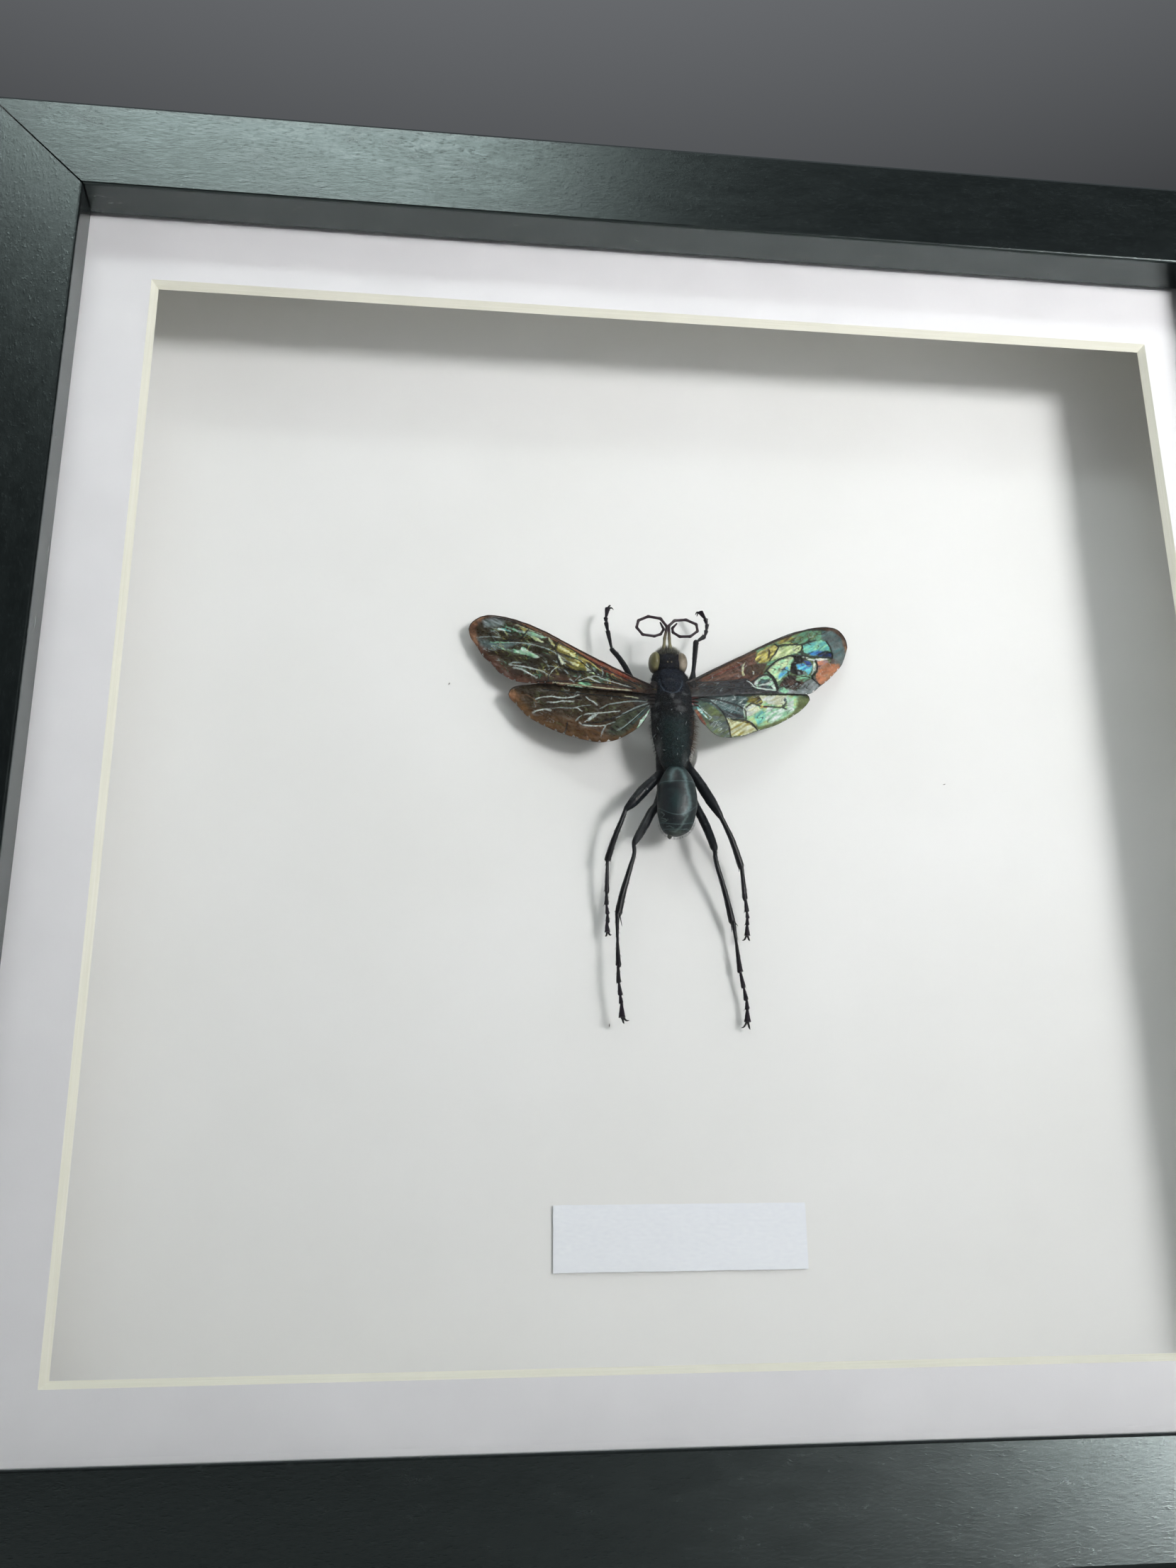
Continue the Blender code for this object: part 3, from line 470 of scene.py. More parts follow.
# Each leg: path from hip to foot, radii, path points up to the shin's end, claw and spur tips
LEGS = {
    "front_left": (
        [(-1.2, 21.5, 4.4), (-2.6, 21.8, 3.9), (-5.3, 22.9, 4.7), (-6.85, 25.1, 5.1), (-7.95, 27.2, 5.3),
         (-9.1, 29.0, 5.4), (-10.3, 30.6, 5.2), (-10.4, 31.1, 5.1), (-10.95, 34.3, 4.9),
         (-11.0, 34.6, 4.9), (-11.25, 36.1, 4.8), (-11.25, 36.4, 4.8), (-11.3, 37.2, 4.7),
         (-11.25, 37.5, 4.7), (-10.95, 39.3, 4.5)],
        [0.9, 0.8, 0.65, 0.42, 0.42, 0.38, 0.35, 0.18, 0.26, 0.17, 0.27, 0.17, 0.26, 0.17, 0.3],
        6, [(-9.8, 39.2, 4.3), (-10.3, 39.95, 4.3)], []),
    "front_right": (
        [(1.4, 21.6, 4.4), (2.6, 22.6, 3.9), (4.1, 24.4, 4.6), (4.5, 25.6, 5.0), (4.65, 26.8, 5.1),
         (4.8, 28.0, 5.2), (5.05, 30.4, 5.3), (5.3, 32.6, 5.3), (5.65, 33.0, 5.2), (6.85, 34.0, 5.0),
         (7.1, 34.3, 5.0), (7.35, 35.25, 4.9), (7.4, 35.5, 4.9), (7.55, 36.5, 4.8), (7.5, 36.75, 4.8),
         (7.35, 37.7, 4.7), (7.2, 38.0, 4.7), (6.5, 39.3, 4.5)],
        [0.9, 0.8, 0.6, 0.5, 0.3, 0.3, 0.38, 0.43, 0.18, 0.27, 0.17, 0.25, 0.17, 0.25, 0.17, 0.27,
         0.2, 0.3],
        7, [(5.5, 38.8, 4.3), (5.8, 38.45, 4.3)], []),
    "middle_left": (
        [(-1.2, 13.0, 4.6), (-1.7, 10.2, 4.2), (-1.9, 6.9, 4.9), (-2.5, 5.75, 5.5), (-5.45, 2.5, 6.3),
         (-7.0, 0.55, 6.5), (-8.1, -0.6, 6.5), (-8.5, -1.2, 6.4), (-9.15, -2.9, 6.2),
         (-10.45, -6.2, 5.4), (-11.45, -9.4, 4.2), (-11.5, -10.1, 4.1), (-11.6, -14.9, 3.4),
         (-11.65, -15.3, 3.4), (-11.65, -17.2, 3.1), (-11.65, -17.5, 3.1), (-11.5, -18.9, 3.0),
         (-11.5, -19.2, 3.0), (-11.45, -20.3, 2.8), (-11.6, -20.6, 2.8), (-11.5, -22.2, 2.6)],
        [0.9, 0.8, 0.75, 0.8, 1.0, 0.85, 0.55, 0.36, 0.4, 0.48, 0.56, 0.21, 0.3, 0.18, 0.3, 0.18,
         0.27, 0.18, 0.27, 0.2, 0.36],
        10, [(-11.9, -22.85, 2.4), (-10.75, -22.6, 2.4)], [(-11.9, -10.6, 4.0)]),
    "middle_right": (
        [(1.5, 13.0, 4.6), (2.4, 10.2, 4.2), (3.3, 7.8, 4.9), (4.15, 6.15, 5.6), (5.6, 3.4, 6.1),
         (6.95, 0.85, 6.4), (8.15, -1.3, 6.5), (8.65, -2.2, 6.4), (9.5, -3.75, 6.0),
         (10.65, -6.15, 5.4), (12.1, -10.2, 4.4), (12.3, -10.9, 4.3), (12.8, -15.8, 3.4),
         (12.9, -16.2, 3.4), (13.1, -18.1, 3.1), (13.1, -18.4, 3.1), (13.2, -19.3, 2.9),
         (13.15, -19.5, 2.9), (13.15, -20.5, 2.7), (13.1, -20.8, 2.7), (13.1, -22.5, 2.5)],
        [0.9, 0.8, 0.75, 0.8, 0.9, 0.88, 0.6, 0.4, 0.42, 0.5, 0.58, 0.24, 0.33, 0.2, 0.3, 0.18,
         0.27, 0.18, 0.27, 0.2, 0.38],
        10, [(12.2, -23.3, 2.3), (13.6, -23.35, 2.3)], [(11.75, -11.35, 4.2)]),
    "hind_left": (
        [(-1.0, 9.4, 4.4), (-1.5, 6.4, 4.0), (-1.8, 3.4, 4.2), (-2.6, 0.7, 4.8), (-3.7, -0.9, 5.0),
         (-4.85, -3.15, 5.3), (-6.0, -5.3, 5.8), (-6.75, -6.6, 6.0), (-7.0, -7.4, 5.8),
         (-6.95, -8.8, 5.6), (-7.9, -12.1, 5.2), (-8.95, -15.7, 4.8), (-9.7, -19.1, 4.2),
         (-9.9, -19.8, 4.2), (-9.95, -24.0, 4.2), (-9.85, -28.3, 4.2), (-9.9, -28.7, 4.2),
         (-9.85, -31.3, 4.2), (-9.8, -31.7, 4.2), (-9.6, -33.5, 4.1), (-9.6, -33.8, 4.1),
         (-9.45, -35.0, 4.0), (-9.4, -35.3, 4.0), (-9.35, -37.5, 3.9)],
        [0.9, 0.8, 0.7, 0.7, 0.76, 0.78, 0.7, 0.55, 0.34, 0.32, 0.44, 0.56, 0.62, 0.28, 0.21, 0.35,
         0.2, 0.31, 0.19, 0.31, 0.19, 0.3, 0.22, 0.42],
        12, [(-8.1, -37.95, 3.7), (-8.95, -38.5, 3.7)], [(-9.1, -21.5, 4.0)]),
    "hind_right": (
        [(1.6, 9.4, 4.4), (2.4, 6.4, 4.0), (3.4, 3.4, 4.2), (4.55, 0.2, 4.8), (5.55, -2.2, 5.2),
         (6.45, -4.9, 5.7), (7.15, -7.4, 6.0), (7.35, -8.2, 5.7), (7.55, -9.7, 5.2),
         (8.75, -13.5, 4.2), (9.6, -16.5, 3.5), (10.4, -19.8, 2.8), (10.7, -20.4, 2.7),
         (11.1, -23.7, 2.5), (11.6, -28.7, 2.2), (11.7, -29.1, 2.2), (12.1, -31.5, 2.1),
         (12.2, -31.9, 2.1), (12.5, -33.7, 2.0), (12.6, -34.0, 2.0), (12.65, -35.4, 1.9),
         (12.65, -35.7, 1.9), (12.65, -37.7, 1.8)],
        [0.9, 0.8, 0.7, 0.7, 0.75, 0.72, 0.65, 0.36, 0.38, 0.42, 0.47, 0.58, 0.28, 0.22, 0.36,
         0.2, 0.31, 0.19, 0.31, 0.19, 0.3, 0.22, 0.42],
        11, [(11.5, -38.7, 1.6), (13.1, -38.95, 1.6)], [(10.35, -21.9, 2.6), (11.5, -20.8, 2.6)]),
}

# Joints of each antenna, from its base round the loop to its tip
ANTENNAE = {
    "left": [(-1.3, 27.9, 8.2), (-1.2, 29.2, 8.4), (-1.1, 31.3, 9.3), (-0.65, 33.5, 9.6),
             (-1.8, 35.1, 9.6), (-4.05, 35.5, 9.5), (-5.85, 34.65, 9.4), (-6.2, 33.3, 9.3),
             (-5.1, 31.95, 9.2), (-2.95, 31.75, 9.1), (-1.75, 32.3, 8.9), (-1.15, 33.4, 8.7),
             (-1.75, 34.85, 8.6)],
    "right": [(-0.1, 28.2, 8.2), (0.0, 29.8, 8.4), (-0.25, 31.3, 9.3), (-0.3, 33.7, 9.6),
              (0.75, 34.8, 9.6), (2.9, 35.1, 9.5), (4.8, 34.3, 9.4), (5.0, 33.0, 9.3),
              (3.65, 31.9, 9.2), (1.7, 31.85, 9.1), (0.5, 32.75, 8.9), (0.45, 33.7, 8.7),
              (1.35, 34.75, 8.6)],
}

# The glue beside the waist: rings as (height, centre across, centre up, half width, half length)
GLUE = [(0.3, 2.0, 10.0, 2.8, 2.5), (0.8, 2.1, 10.0, 2.6, 2.3), (1.8, 2.9, 9.9, 1.9, 1.8),
        (2.7, 3.8, 9.7, 1.0, 1.4), (3.5, 4.25, 9.6, 0.5, 1.15), (5.0, 4.4, 9.8, 0.42, 1.05),
        (6.2, 4.4, 10.0, 0.36, 0.9), (7.0, 4.3, 10.2, 0.3, 0.7), (7.4, 4.28, 10.2, 0.15, 0.35)]

# Colours of the wings' membrane, and of the sheen, glints and shade painted on it
SEPIA = rgb(44, 38, 24)
UMBER = rgb(58, 47, 33)
BARK = rgb(70, 50, 36)
COCOA = rgb(92, 62, 50)
RUST = rgb(130, 50, 28)
TAN = rgb(140, 102, 74)
PITCH = rgb(20, 20, 20)
SLATE = rgb(98, 112, 112)
ASH = rgb(150, 158, 160)
OLIVE = rgb(150, 138, 62)
MOSS = rgb(96, 110, 64)
LICHEN = rgb(74, 84, 66)
LIME = rgb(196, 222, 150)
MINT = rgb(152, 216, 172)
JADE = rgb(96, 160, 130)
TEAL = rgb(58, 96, 98)
TURQUOISE = rgb(104, 200, 196)
SKY = rgb(60, 150, 214)
COBALT = rgb(22, 74, 160)
CREAM = rgb(228, 232, 192)
APRICOT = rgb(190, 122, 84)
FROST = rgb(226, 236, 230)
SILVER = rgb(176, 190, 188)
PALE = rgb(222, 236, 184)
SMOKE = rgb(52, 56, 62)
INK = rgb(10, 14, 14)
GOLD = rgb(222, 212, 118)
KHAKI = rgb(100, 72, 44)
MAUVE = rgb(152, 128, 134)

# What each wing shows, with points outwards and up. Colours: membrane, front and rear margins, tip
# and root. Nicks are the deepest wear of the hind margin, rib is the veins' radius, and the next
# number is how strongly the creases brighten and darken the film as painted light and shade. The
# thin threads are a seed, colour, strength and width: light ones are painted glints, dark ones
# painted shade in the creases. Patches are a colour, a second colour streaked into it, the softness
# of the edge in millimetres and an outline: the rusts, tans and browns are the membrane's own
# colours, the pale frost, cream, gold and mint ones painted glints, and the right wings' green to
# blue ones painted sheen. The lines after them are a colour, a width and a line: pale ones are
# painted glints on the creases, the others coloured lines.
WING_MARKS = {
    "fore_left": dict(
        membrane=SEPIA, front=BARK, rear=COCOA, tip=TAN, root=PITCH, nicks=0.6, rib=0.08, crease_shading=0.5,
        glint_and_shade_threads=[(21, MOSS, 0.7, 0.08), (24, SILVER, 0.8, 0.06), (27, JADE, 0.7, 0.07),
                  (30, GOLD, 0.5, 0.06)],
        patches=[
            (TAN, COCOA, 0.35, [(33, 37.8), (35.3, 37), (36.8, 35), (36.2, 33), (34.8, 30.8), (34.3, 32.2),
                (34.9, 33.6), (35.2, 35), (34.4, 36.3)]),
            (RUST, COCOA, 0.2, [(20.4, 31.4), (15.2, 28.2), (10.4, 25.8), (7, 23.8), (5.5, 22.4),
                (8.5, 22.9), (11.7, 24.5), (14.8, 26.9), (18.1, 29.5)]),
            (OLIVE, UMBER, 0.2, [(20.6, 31), (18.5, 30.2), (16.2, 28.5), (15, 27.1), (15.2, 25.2),
                (17.2, 25.5), (18.9, 26.7), (20.5, 28.8)]),
            (SLATE, ASH, 0.5, [(33.8, 36.6), (31.3, 37.1), (29.9, 36.1), (30.3, 35.2), (31.8, 35.1),
                (33.4, 35.4)]),
            (SLATE, TEAL, 0.5, [(34.8, 33.2), (32.2, 32), (29.4, 31.6), (27.5, 31.5), (29.4, 30.7),
                (32.6, 30.7), (34.1, 31.5)]),
            (MINT, FROST, 0.06, [(28.4, 29.8), (27.1, 30.2), (26.5, 30.7), (25.5, 29.8), (24.3, 29),
                (23.6, 28.4), (24.1, 28.1), (25.9, 29), (27.5, 29.5)]),
            (SLATE, MINT, 0.08, [(30.8, 30.9), (29.2, 30.4), (27.5, 30.3), (27, 30.1), (28.4, 29.9),
                (29.8, 30.2)]),
            (ASH, MINT, 0.08, [(30.3, 35.3), (27.9, 34.4), (26.7, 33.9), (25.1, 33.7), (23.6, 32.9),
                (21.9, 32.2), (23.2, 32.2), (24.9, 32.6), (25.9, 33.2), (27.5, 33.8)]),
            (CREAM, LIME, 0.06, [(25.4, 32.8), (24.2, 32.5), (22.8, 31.4), (23.2, 31.3), (24.2, 31.8)]),
            (CREAM, GOLD, 0.05, [(22, 32.2), (21.3, 31.6), (20.8, 30.4), (20.7, 29.8), (21.1, 30.5),
                (21.7, 31.4)]),
            (CREAM, GOLD, 0.05, [(20.4, 30.7), (19.4, 30), (18.3, 29.3), (18, 28.7), (19.3, 29.3),
                (20.3, 30)]),
            (GOLD, PALE, 0.06, [(18.4, 29.1), (17.2, 28.8), (17.1, 27.9), (15.9, 27), (16.6, 26.8),
                (17.7, 28)]),
            (FROST, CREAM, 0.05, [(20.6, 28.9), (20.1, 28.5), (19.5, 27.5), (18.9, 26.8), (19.5, 26.7),
                (20.1, 27.7)]),
            (CREAM, GOLD, 0.05, [(18.4, 27.3), (17.3, 26.9), (16.5, 26.4), (16.7, 26), (17.7, 26.6)]),
            (FROST, LIME, 0.05, [(15.2, 27), (14.9, 26.1), (14.3, 25.2), (13.8, 24.4), (14.5, 24.6),
                (15.1, 25.2), (15.4, 26.1)]),
            (SILVER, PITCH, 0.05, [(14.4, 26.1), (13.3, 25.1), (12.6, 24.2), (13.1, 24.2), (14, 25.3)]),
            (TURQUOISE, FROST, 0.06, [(31.6, 34.7), (30.3, 34.8), (29.1, 34.2), (28.3, 33.8),
                (29.9, 34.1)]),
            (TURQUOISE, SLATE, 0.06, [(30.3, 34.1), (29.1, 33.6), (28, 33), (29.3, 33.4)]),
            (MINT, FROST, 0.06, [(19, 22.6), (17, 22.3), (15.6, 21.9), (14.3, 21.7), (12.5, 21.1),
                (12.8, 20.9), (15.3, 21.2), (16.6, 21.6)]),
            (JADE, MINT, 0.05, [(16.9, 22.8), (16, 23.1), (15, 22.9), (14.2, 22.3), (15.4, 22.3)]),
        ],
        folds_and_glints=[
            (SILVER, 0.09, [(32.2, 32), (29.8, 31.8), (26.7, 31.5), (24.4, 30.9)]),
            (SILVER, 0.09, [(25.4, 31.2), (24.4, 30.9), (22, 29.9), (20.6, 29), (18.9, 27.6)]),
            (MINT, 0.12, [(32.2, 32), (30.8, 31.9), (29, 31.7)]),
            (SILVER, 0.08, [(34.8, 33.2), (32.8, 33.2), (30.7, 32.9)]),
            (SILVER, 0.1, [(29, 27.4), (28.2, 27.7), (26.8, 27.5)]),
            (FROST, 0.1, [(29, 27.3), (27.1, 26.9), (24.7, 26.2), (23.2, 25.7), (22, 24.8)]),
            (FROST, 0.15, [(28.2, 26.7), (26.7, 26.2), (25.1, 25.1), (24.1, 24.4)]),
            (FROST, 0.09, [(21.9, 24.5), (21.2, 25.6), (20.2, 26.4)]),
            (SILVER, 0.1, [(19, 25.5), (18.5, 24.8)]),
            (FROST, 0.1, [(18.1, 23.7), (17.5, 23.1)]),
            (SILVER, 0.08, [(17.4, 23.2), (16.3, 24.2)]),
            (CREAM, 0.09, [(21.2, 23.2), (17.4, 22.6), (14.3, 22), (10.4, 21.3), (7.4, 20.9)]),
            (FROST, 0.08, [(16.6, 23.3), (14.7, 23.9), (13.5, 24), (11.6, 23.1), (7.4, 21.5)]),
            (FROST, 0.14, [(14.9, 23.8), (14, 23.3), (12.8, 22.7)]),
            (SILVER, 0.08, [(12.6, 25.9), (12.3, 24.6), (12.5, 23.8)]),
            (APRICOT, 0.07, [(26.7, 35.4), (23.6, 33.4), (20.4, 31.4), (17.7, 29.8), (15, 27.9),
                (12.3, 26.1), (8.5, 23.9)]),
            (TAN, 0.07, [(25.2, 34.6), (22, 32.7), (18.9, 30.8), (15.2, 28.4), (11.3, 26), (7.7, 23.7)]),
            (CREAM, 0.08, [(27.9, 35.3), (25.5, 34.1), (22.8, 32.9)]),
            (GOLD, 0.08, [(15.9, 27.6), (14.6, 26.9), (13.4, 25.7), (12.4, 24.9)]),
        ],
        veins=[
            [(6.1, 21.9), (9.4, 23.8), (13.6, 26.4), (17.7, 29.5), (21.3, 32.1), (25.4, 34.3), (29.4, 36.4),
             (32, 37)],
            [(6.5, 21.3), (10.5, 23.2), (14, 25), (16.5, 27.3), (18.6, 28.4), (20.5, 29.2)],
            [(6.5, 21.1), (11.5, 22.3), (15.7, 23.1), (19.9, 23.4), (24.1, 23.6)],
            [(20.5, 29.2), (19.9, 26.6), (17.8, 25.3), (14, 24.9)],
            [(20.1, 31.4), (20.8, 30.3), (20.5, 29.2)],
            [(25.4, 34.3), (27.1, 32.3), (30, 32.2)],
            [(22, 24.8), (22, 23.5)],
        ]),
    "hind_left": dict(
        membrane=UMBER, front=SEPIA, rear=KHAKI, tip=TAN, root=SMOKE, nicks=0.6, rib=0.08, crease_shading=0.4,
        glint_and_shade_threads=[(41, SILVER, 0.6, 0.05), (44, MOSS, 0.6, 0.07), (47, INK, 0.7, 0.1)],
        patches=[
            (KHAKI, BARK, 1.2, [(24, 18), (17.5, 16.5), (11, 14), (10, 11.5), (16, 12), (23, 15.2)]),
            (LICHEN, PITCH, 0.5, [(12, 13.2), (10.4, 15), (8.9, 16.2), (6.2, 17.4), (4.6, 17.9),
                (6.2, 15.4), (7.4, 13.8), (8.9, 12.6), (10.5, 12.5)]),
            (FROST, MINT, 0.06, [(6.4, 13.7), (5.8, 15.2), (4.9, 16.2), (4.1, 17.4), (4.4, 16.4), (5.3, 15),
                (5.9, 13.8)]),
            (FROST, SILVER, 0.05, [(15.6, 15.5), (14.8, 16.2), (14.1, 16.9), (13.2, 16.9), (13.8, 16.3),
                (14.7, 15.7)]),
        ],
        folds_and_glints=[
            (FROST, 0.12, [(24.1, 20.5), (23.1, 20.8), (21.4, 20.8), (19.3, 20.4), (17.9, 20.4),
                (16.6, 20.8)]),
            (FROST, 0.12, [(22.1, 19.8), (21, 19.6), (19.3, 19.8), (17.4, 19.6)]),
            (FROST, 0.13, [(24.7, 17.9), (23.7, 18.2), (22.7, 18.4), (21.4, 18.1)]),
            (SILVER, 0.08, [(21.6, 18.5), (19.6, 18.5), (17.5, 18.3), (16.2, 18.6), (14.5, 18.7)]),
            (FROST, 0.1, [(17.2, 18.4), (16.6, 18.1), (16, 17.6)]),
            (FROST, 0.12, [(15.3, 20.4), (14.6, 19.7), (14, 19.4), (13.3, 18.7)]),
            (FROST, 0.1, [(15.6, 17), (14.3, 17.1), (12.3, 17.1), (9.4, 17.3)]),
            (FROST, 0.11, [(16.4, 15.4), (16, 15), (14.7, 14.7), (12.7, 14.6), (11.9, 14.7)]),
            (SILVER, 0.09, [(12.7, 12.6), (12.4, 13.6), (11.6, 14.8), (10.1, 15.2)]),
            (TAN, 0.07, [(27.4, 21.4), (25.8, 21.4), (24.7, 20.7), (24.1, 19.9), (24.1, 19)]),
            (SILVER, 0.1, [(12.7, 18), (11.5, 18.6), (9.8, 18.9), (7.7, 19.1), (4.6, 19)]),
            (SILVER, 0.1, [(9.9, 16), (8.5, 16.8), (6.6, 17.8), (4.2, 18.6)]),
            (LICHEN, 0.12, [(10.4, 14.9), (8.9, 16), (6.6, 17.4), (4.1, 18.4)]),
            (SILVER, 0.09, [(9.9, 13.5), (8.5, 14.3), (6.2, 16.3), (4.1, 18.2)]),
            (SILVER, 0.09, [(17.1, 15.8), (16.6, 16.4), (16, 16.8)]),
            (TEAL, 0.12, [(4.3, 17.7), (5.3, 16.6), (7.2, 14.7)]),
            (CREAM, 0.1, [(8.4, 20.1), (7.3, 20), (6.1, 19.6)]),
        ],
        veins=[
            [(4.6, 19), (11, 20.3), (17, 21.2), (23, 22.3)],
            [(4.5, 18.2), (8.5, 16.7), (12.5, 15.4), (16, 15.1)],
            [(4.4, 17.9), (6.8, 15.6), (9, 13.6)],
            [(19.1, 13.6), (18.7, 14.6), (18.6, 15.5)],
        ]),
    # Its green, turquoise, blue and cream patches are the film's iridescent sheen, painted on as colour.
    "fore_right": dict(
        membrane=COCOA, front=BARK, rear=SLATE, tip=TAN, root=PITCH, nicks=0.35, rib=0.12, crease_shading=0.5,
        glint_and_shade_threads=[(61, INK, 0.95, 0.13), (64, UMBER, 0.7, 0.1), (67, INK, 0.9, 0.1),
                  (90, SILVER, 0.6, 0.05)],
        patches=[
            (SMOKE, PITCH, 0.25, [(4.9, 22.3), (11.2, 24), (14, 24.7), (15.5, 23.4), (19, 22.9),
                (21.4, 22.7), (16.2, 21.8), (9.5, 20.8), (4.9, 20)]),
            (MOSS, JADE, 0.2, [(16.2, 30.8), (20.5, 33.2), (26, 36.2), (30, 37.4), (32, 33.5), (31, 30.5),
                (27.5, 27), (24, 23.4), (20, 23.4), (18, 25.6), (16.2, 28.4)]),
            (UMBER, BARK, 0.12, [(14.1, 27.2), (16.3, 28.2), (18.3, 28.5), (17.4, 26.3), (15.2, 25.2),
                (14, 25.8)]),
            (JADE, MOSS, 0.25, [(24.9, 34.9), (23.7, 35), (26.5, 36.6), (29.7, 37.3), (29.8, 36),
                (27.8, 34.9), (25.5, 33.8), (23.9, 33.9)]),
            (UMBER, OLIVE, 0.1, [(20.1, 32.8), (22.4, 34.4), (24.9, 35.1), (24.7, 34.7), (23.3, 34.1),
                (21.6, 33.1)]),
            (SLATE, TEAL, 0.25, [(29.8, 37.2), (32.2, 37.5), (33.7, 36.4), (34.4, 34.2), (33.8, 31.7),
                (31.8, 31.6), (31.8, 33), (30.7, 35), (29.6, 35.4)]),
            (OLIVE, GOLD, 0.08, [(15.9, 28.5), (16.6, 30.3), (18.5, 31.8), (20.2, 32.6), (20.7, 32.3),
                (19.4, 30.1), (18.7, 29), (16.9, 28.3)]),
            (INK, UMBER, 0.08, [(18.7, 31.5), (19.1, 31.3), (19, 30.1), (18.3, 29.1), (18.6, 30.2)]),
            (LIME, PALE, 0.06, [(19, 29.2), (20, 30.7), (20.9, 32.1), (23.2, 33), (25.5, 33.4),
                (25.5, 32.3), (23.3, 31.2), (21, 30.1)]),
            (LIME, OLIVE, 0.06, [(20.7, 32.5), (22.2, 33.6), (23.2, 33.6), (25.3, 33.6), (23.6, 33.2)]),
            (TURQUOISE, MINT, 0.12, [(25.7, 33.5), (27.2, 34.2), (29.7, 35.1), (30.7, 34.9), (31.3, 33.6),
                (30.4, 33), (28.5, 32.5), (25.9, 31.5)]),
            (SKY, COBALT, 0.25, [(26.7, 32), (28.3, 32.8), (30.4, 33), (29.5, 32.1), (27.4, 31.6)]),
            (COBALT, INK, 0.08, [(29.1, 32.3), (30.6, 32.8), (31.6, 32.7), (31.5, 32), (29.7, 31.8),
                (28.5, 31.7)]),
            (PALE, MINT, 0.06, [(17.9, 26.6), (19.3, 28.5), (21, 29.8), (23.1, 30.7), (23.8, 30.6),
                (23.1, 29.3), (22.8, 28), (21.2, 26.1), (20.2, 24.9), (19.6, 26), (18.6, 26.9)]),
            (TURQUOISE, SKY, 0.25, [(20.4, 26.2), (21.3, 27.7), (22.3, 28.5), (22.7, 27.8), (21.4, 26.3),
                (20.5, 25.6)]),
            (INK, PITCH, 0.05, [(18.3, 27), (18.8, 26.7), (19.8, 25.7), (20.3, 24.5), (20.4, 23.7),
                (19.9, 23.3), (19.5, 24.6), (18.9, 25.7)]),
            (FROST, MINT, 0.05, [(15.1, 23.3), (16, 24.7), (17, 25.6), (18.1, 26.1), (19, 25.6),
                (19.6, 24.4), (19.9, 23.2), (18, 23.1), (15.9, 23)]),
            (INK, TEAL, 0.06, [(16.3, 24.5), (17.1, 25.2), (18.5, 25.2), (18.7, 24.8), (17.5, 24.3),
                (16.4, 23.8)]),
            (SMOKE, TEAL, 0.06, [(15.8, 23.4), (17.2, 23.9), (18.9, 24.1), (19.3, 23.4), (17.4, 23.3)]),
            (INK, PITCH, 0.06, [(23.5, 30.9), (25.2, 31.1), (25.8, 30.3), (25.2, 29.6), (24.2, 29.2),
                (24.2, 28.4), (25.6, 28), (26.3, 27.3), (27, 27.2), (26.7, 26.8), (24.1, 27), (22.8, 27.4),
                (23.2, 29.3), (23.8, 30)]),
            (INK, COCOA, 0.1, [(20.5, 24.3), (21.4, 25.9), (22.7, 26.9), (24.3, 26.8), (23.8, 25.9),
                (26, 26), (25.5, 25.1), (24.6, 24.8), (23.9, 23.8), (22.7, 24), (21.5, 24.1)]),
            (SKY, TURQUOISE, 0.05, [(24.2, 29.2), (25.5, 29.7), (26.7, 29.1), (27.5, 29.8), (27.3, 28.5),
                (26.5, 27.5), (25.8, 28.2), (24.4, 28.3)]),
            (COBALT, INK, 0.05, [(25.6, 30.3), (27.1, 30.3), (27.4, 29.6), (26.4, 29.2)]),
            (MAUVE, APRICOT, 0.15, [(28.3, 30.7), (29.7, 31.3), (30.9, 31), (30.2, 30), (28.7, 29),
                (28.1, 27.4)]),
            (APRICOT, TAN, 0.15, [(28.7, 29), (30.3, 30.5), (33.2, 30.8), (32.9, 29.2), (30.2, 26.4),
                (28.7, 25.8), (27.9, 27.2)]),
            (ASH, SLATE, 0.15, [(23.9, 23.8), (25.9, 26), (27.6, 27.1), (28.7, 25.8), (26.7, 23.6),
                (22.2, 22.9), (21, 23), (21.5, 23.9), (23.2, 23.9)]),
            (MINT, TEAL, 0.06, [(20.4, 24), (21.1, 24.3), (22.4, 23.6), (21.8, 22.9), (20.5, 23.2)]),
            (CREAM, GOLD, 0.04, [(13.9, 27.9), (13.3, 27.1), (13.2, 26.1), (13.4, 25.2), (13.9, 25.4),
                (13.6, 25.9), (13.7, 27.2)]),
            (FROST, CREAM, 0.04, [(25.1, 31.1), (26.4, 31.1), (27.6, 30.8), (29.7, 31.5), (31.4, 31.6),
                (29.7, 31), (27.8, 30.5), (26.5, 30.7)]),
            (FROST, CREAM, 0.04, [(27.8, 30.9), (28.1, 29.9), (28, 28.8), (27.1, 27.4), (27.5, 28.7)]),
            (FROST, CREAM, 0.04, [(15.4, 26.5), (15.7, 26.4), (15.6, 25.8), (15.4, 25.8)]),
        ],
        folds_and_glints=[
            (MINT, 0.08, [(24.1, 26.7), (25.5, 27.2), (27, 27.2)]),
            (MINT, 0.08, [(24.2, 26.4), (25.7, 26.8), (26.7, 26.8)]),
            (FROST, 0.1, [(14.2, 24.4), (14.9, 24.1), (15.4, 23.6)]),
            (FROST, 0.1, [(15.1, 23.4), (17.2, 23.2), (19.6, 23.3)]),
            (TAN, 0.07, [(5.7, 23.6), (10.3, 26.5), (14.1, 28.9), (17.4, 31.1)]),
            (RUST, 0.08, [(5.3, 23.1), (10.3, 25.9), (13.7, 27.8)]),
            (TAN, 0.06, [(5.7, 23), (9.6, 24.5), (13.2, 25.9)]),
            (CREAM, 0.07, [(20.9, 32.1), (20.2, 30.9), (19.2, 29.4)]),
        ],
        veins=[
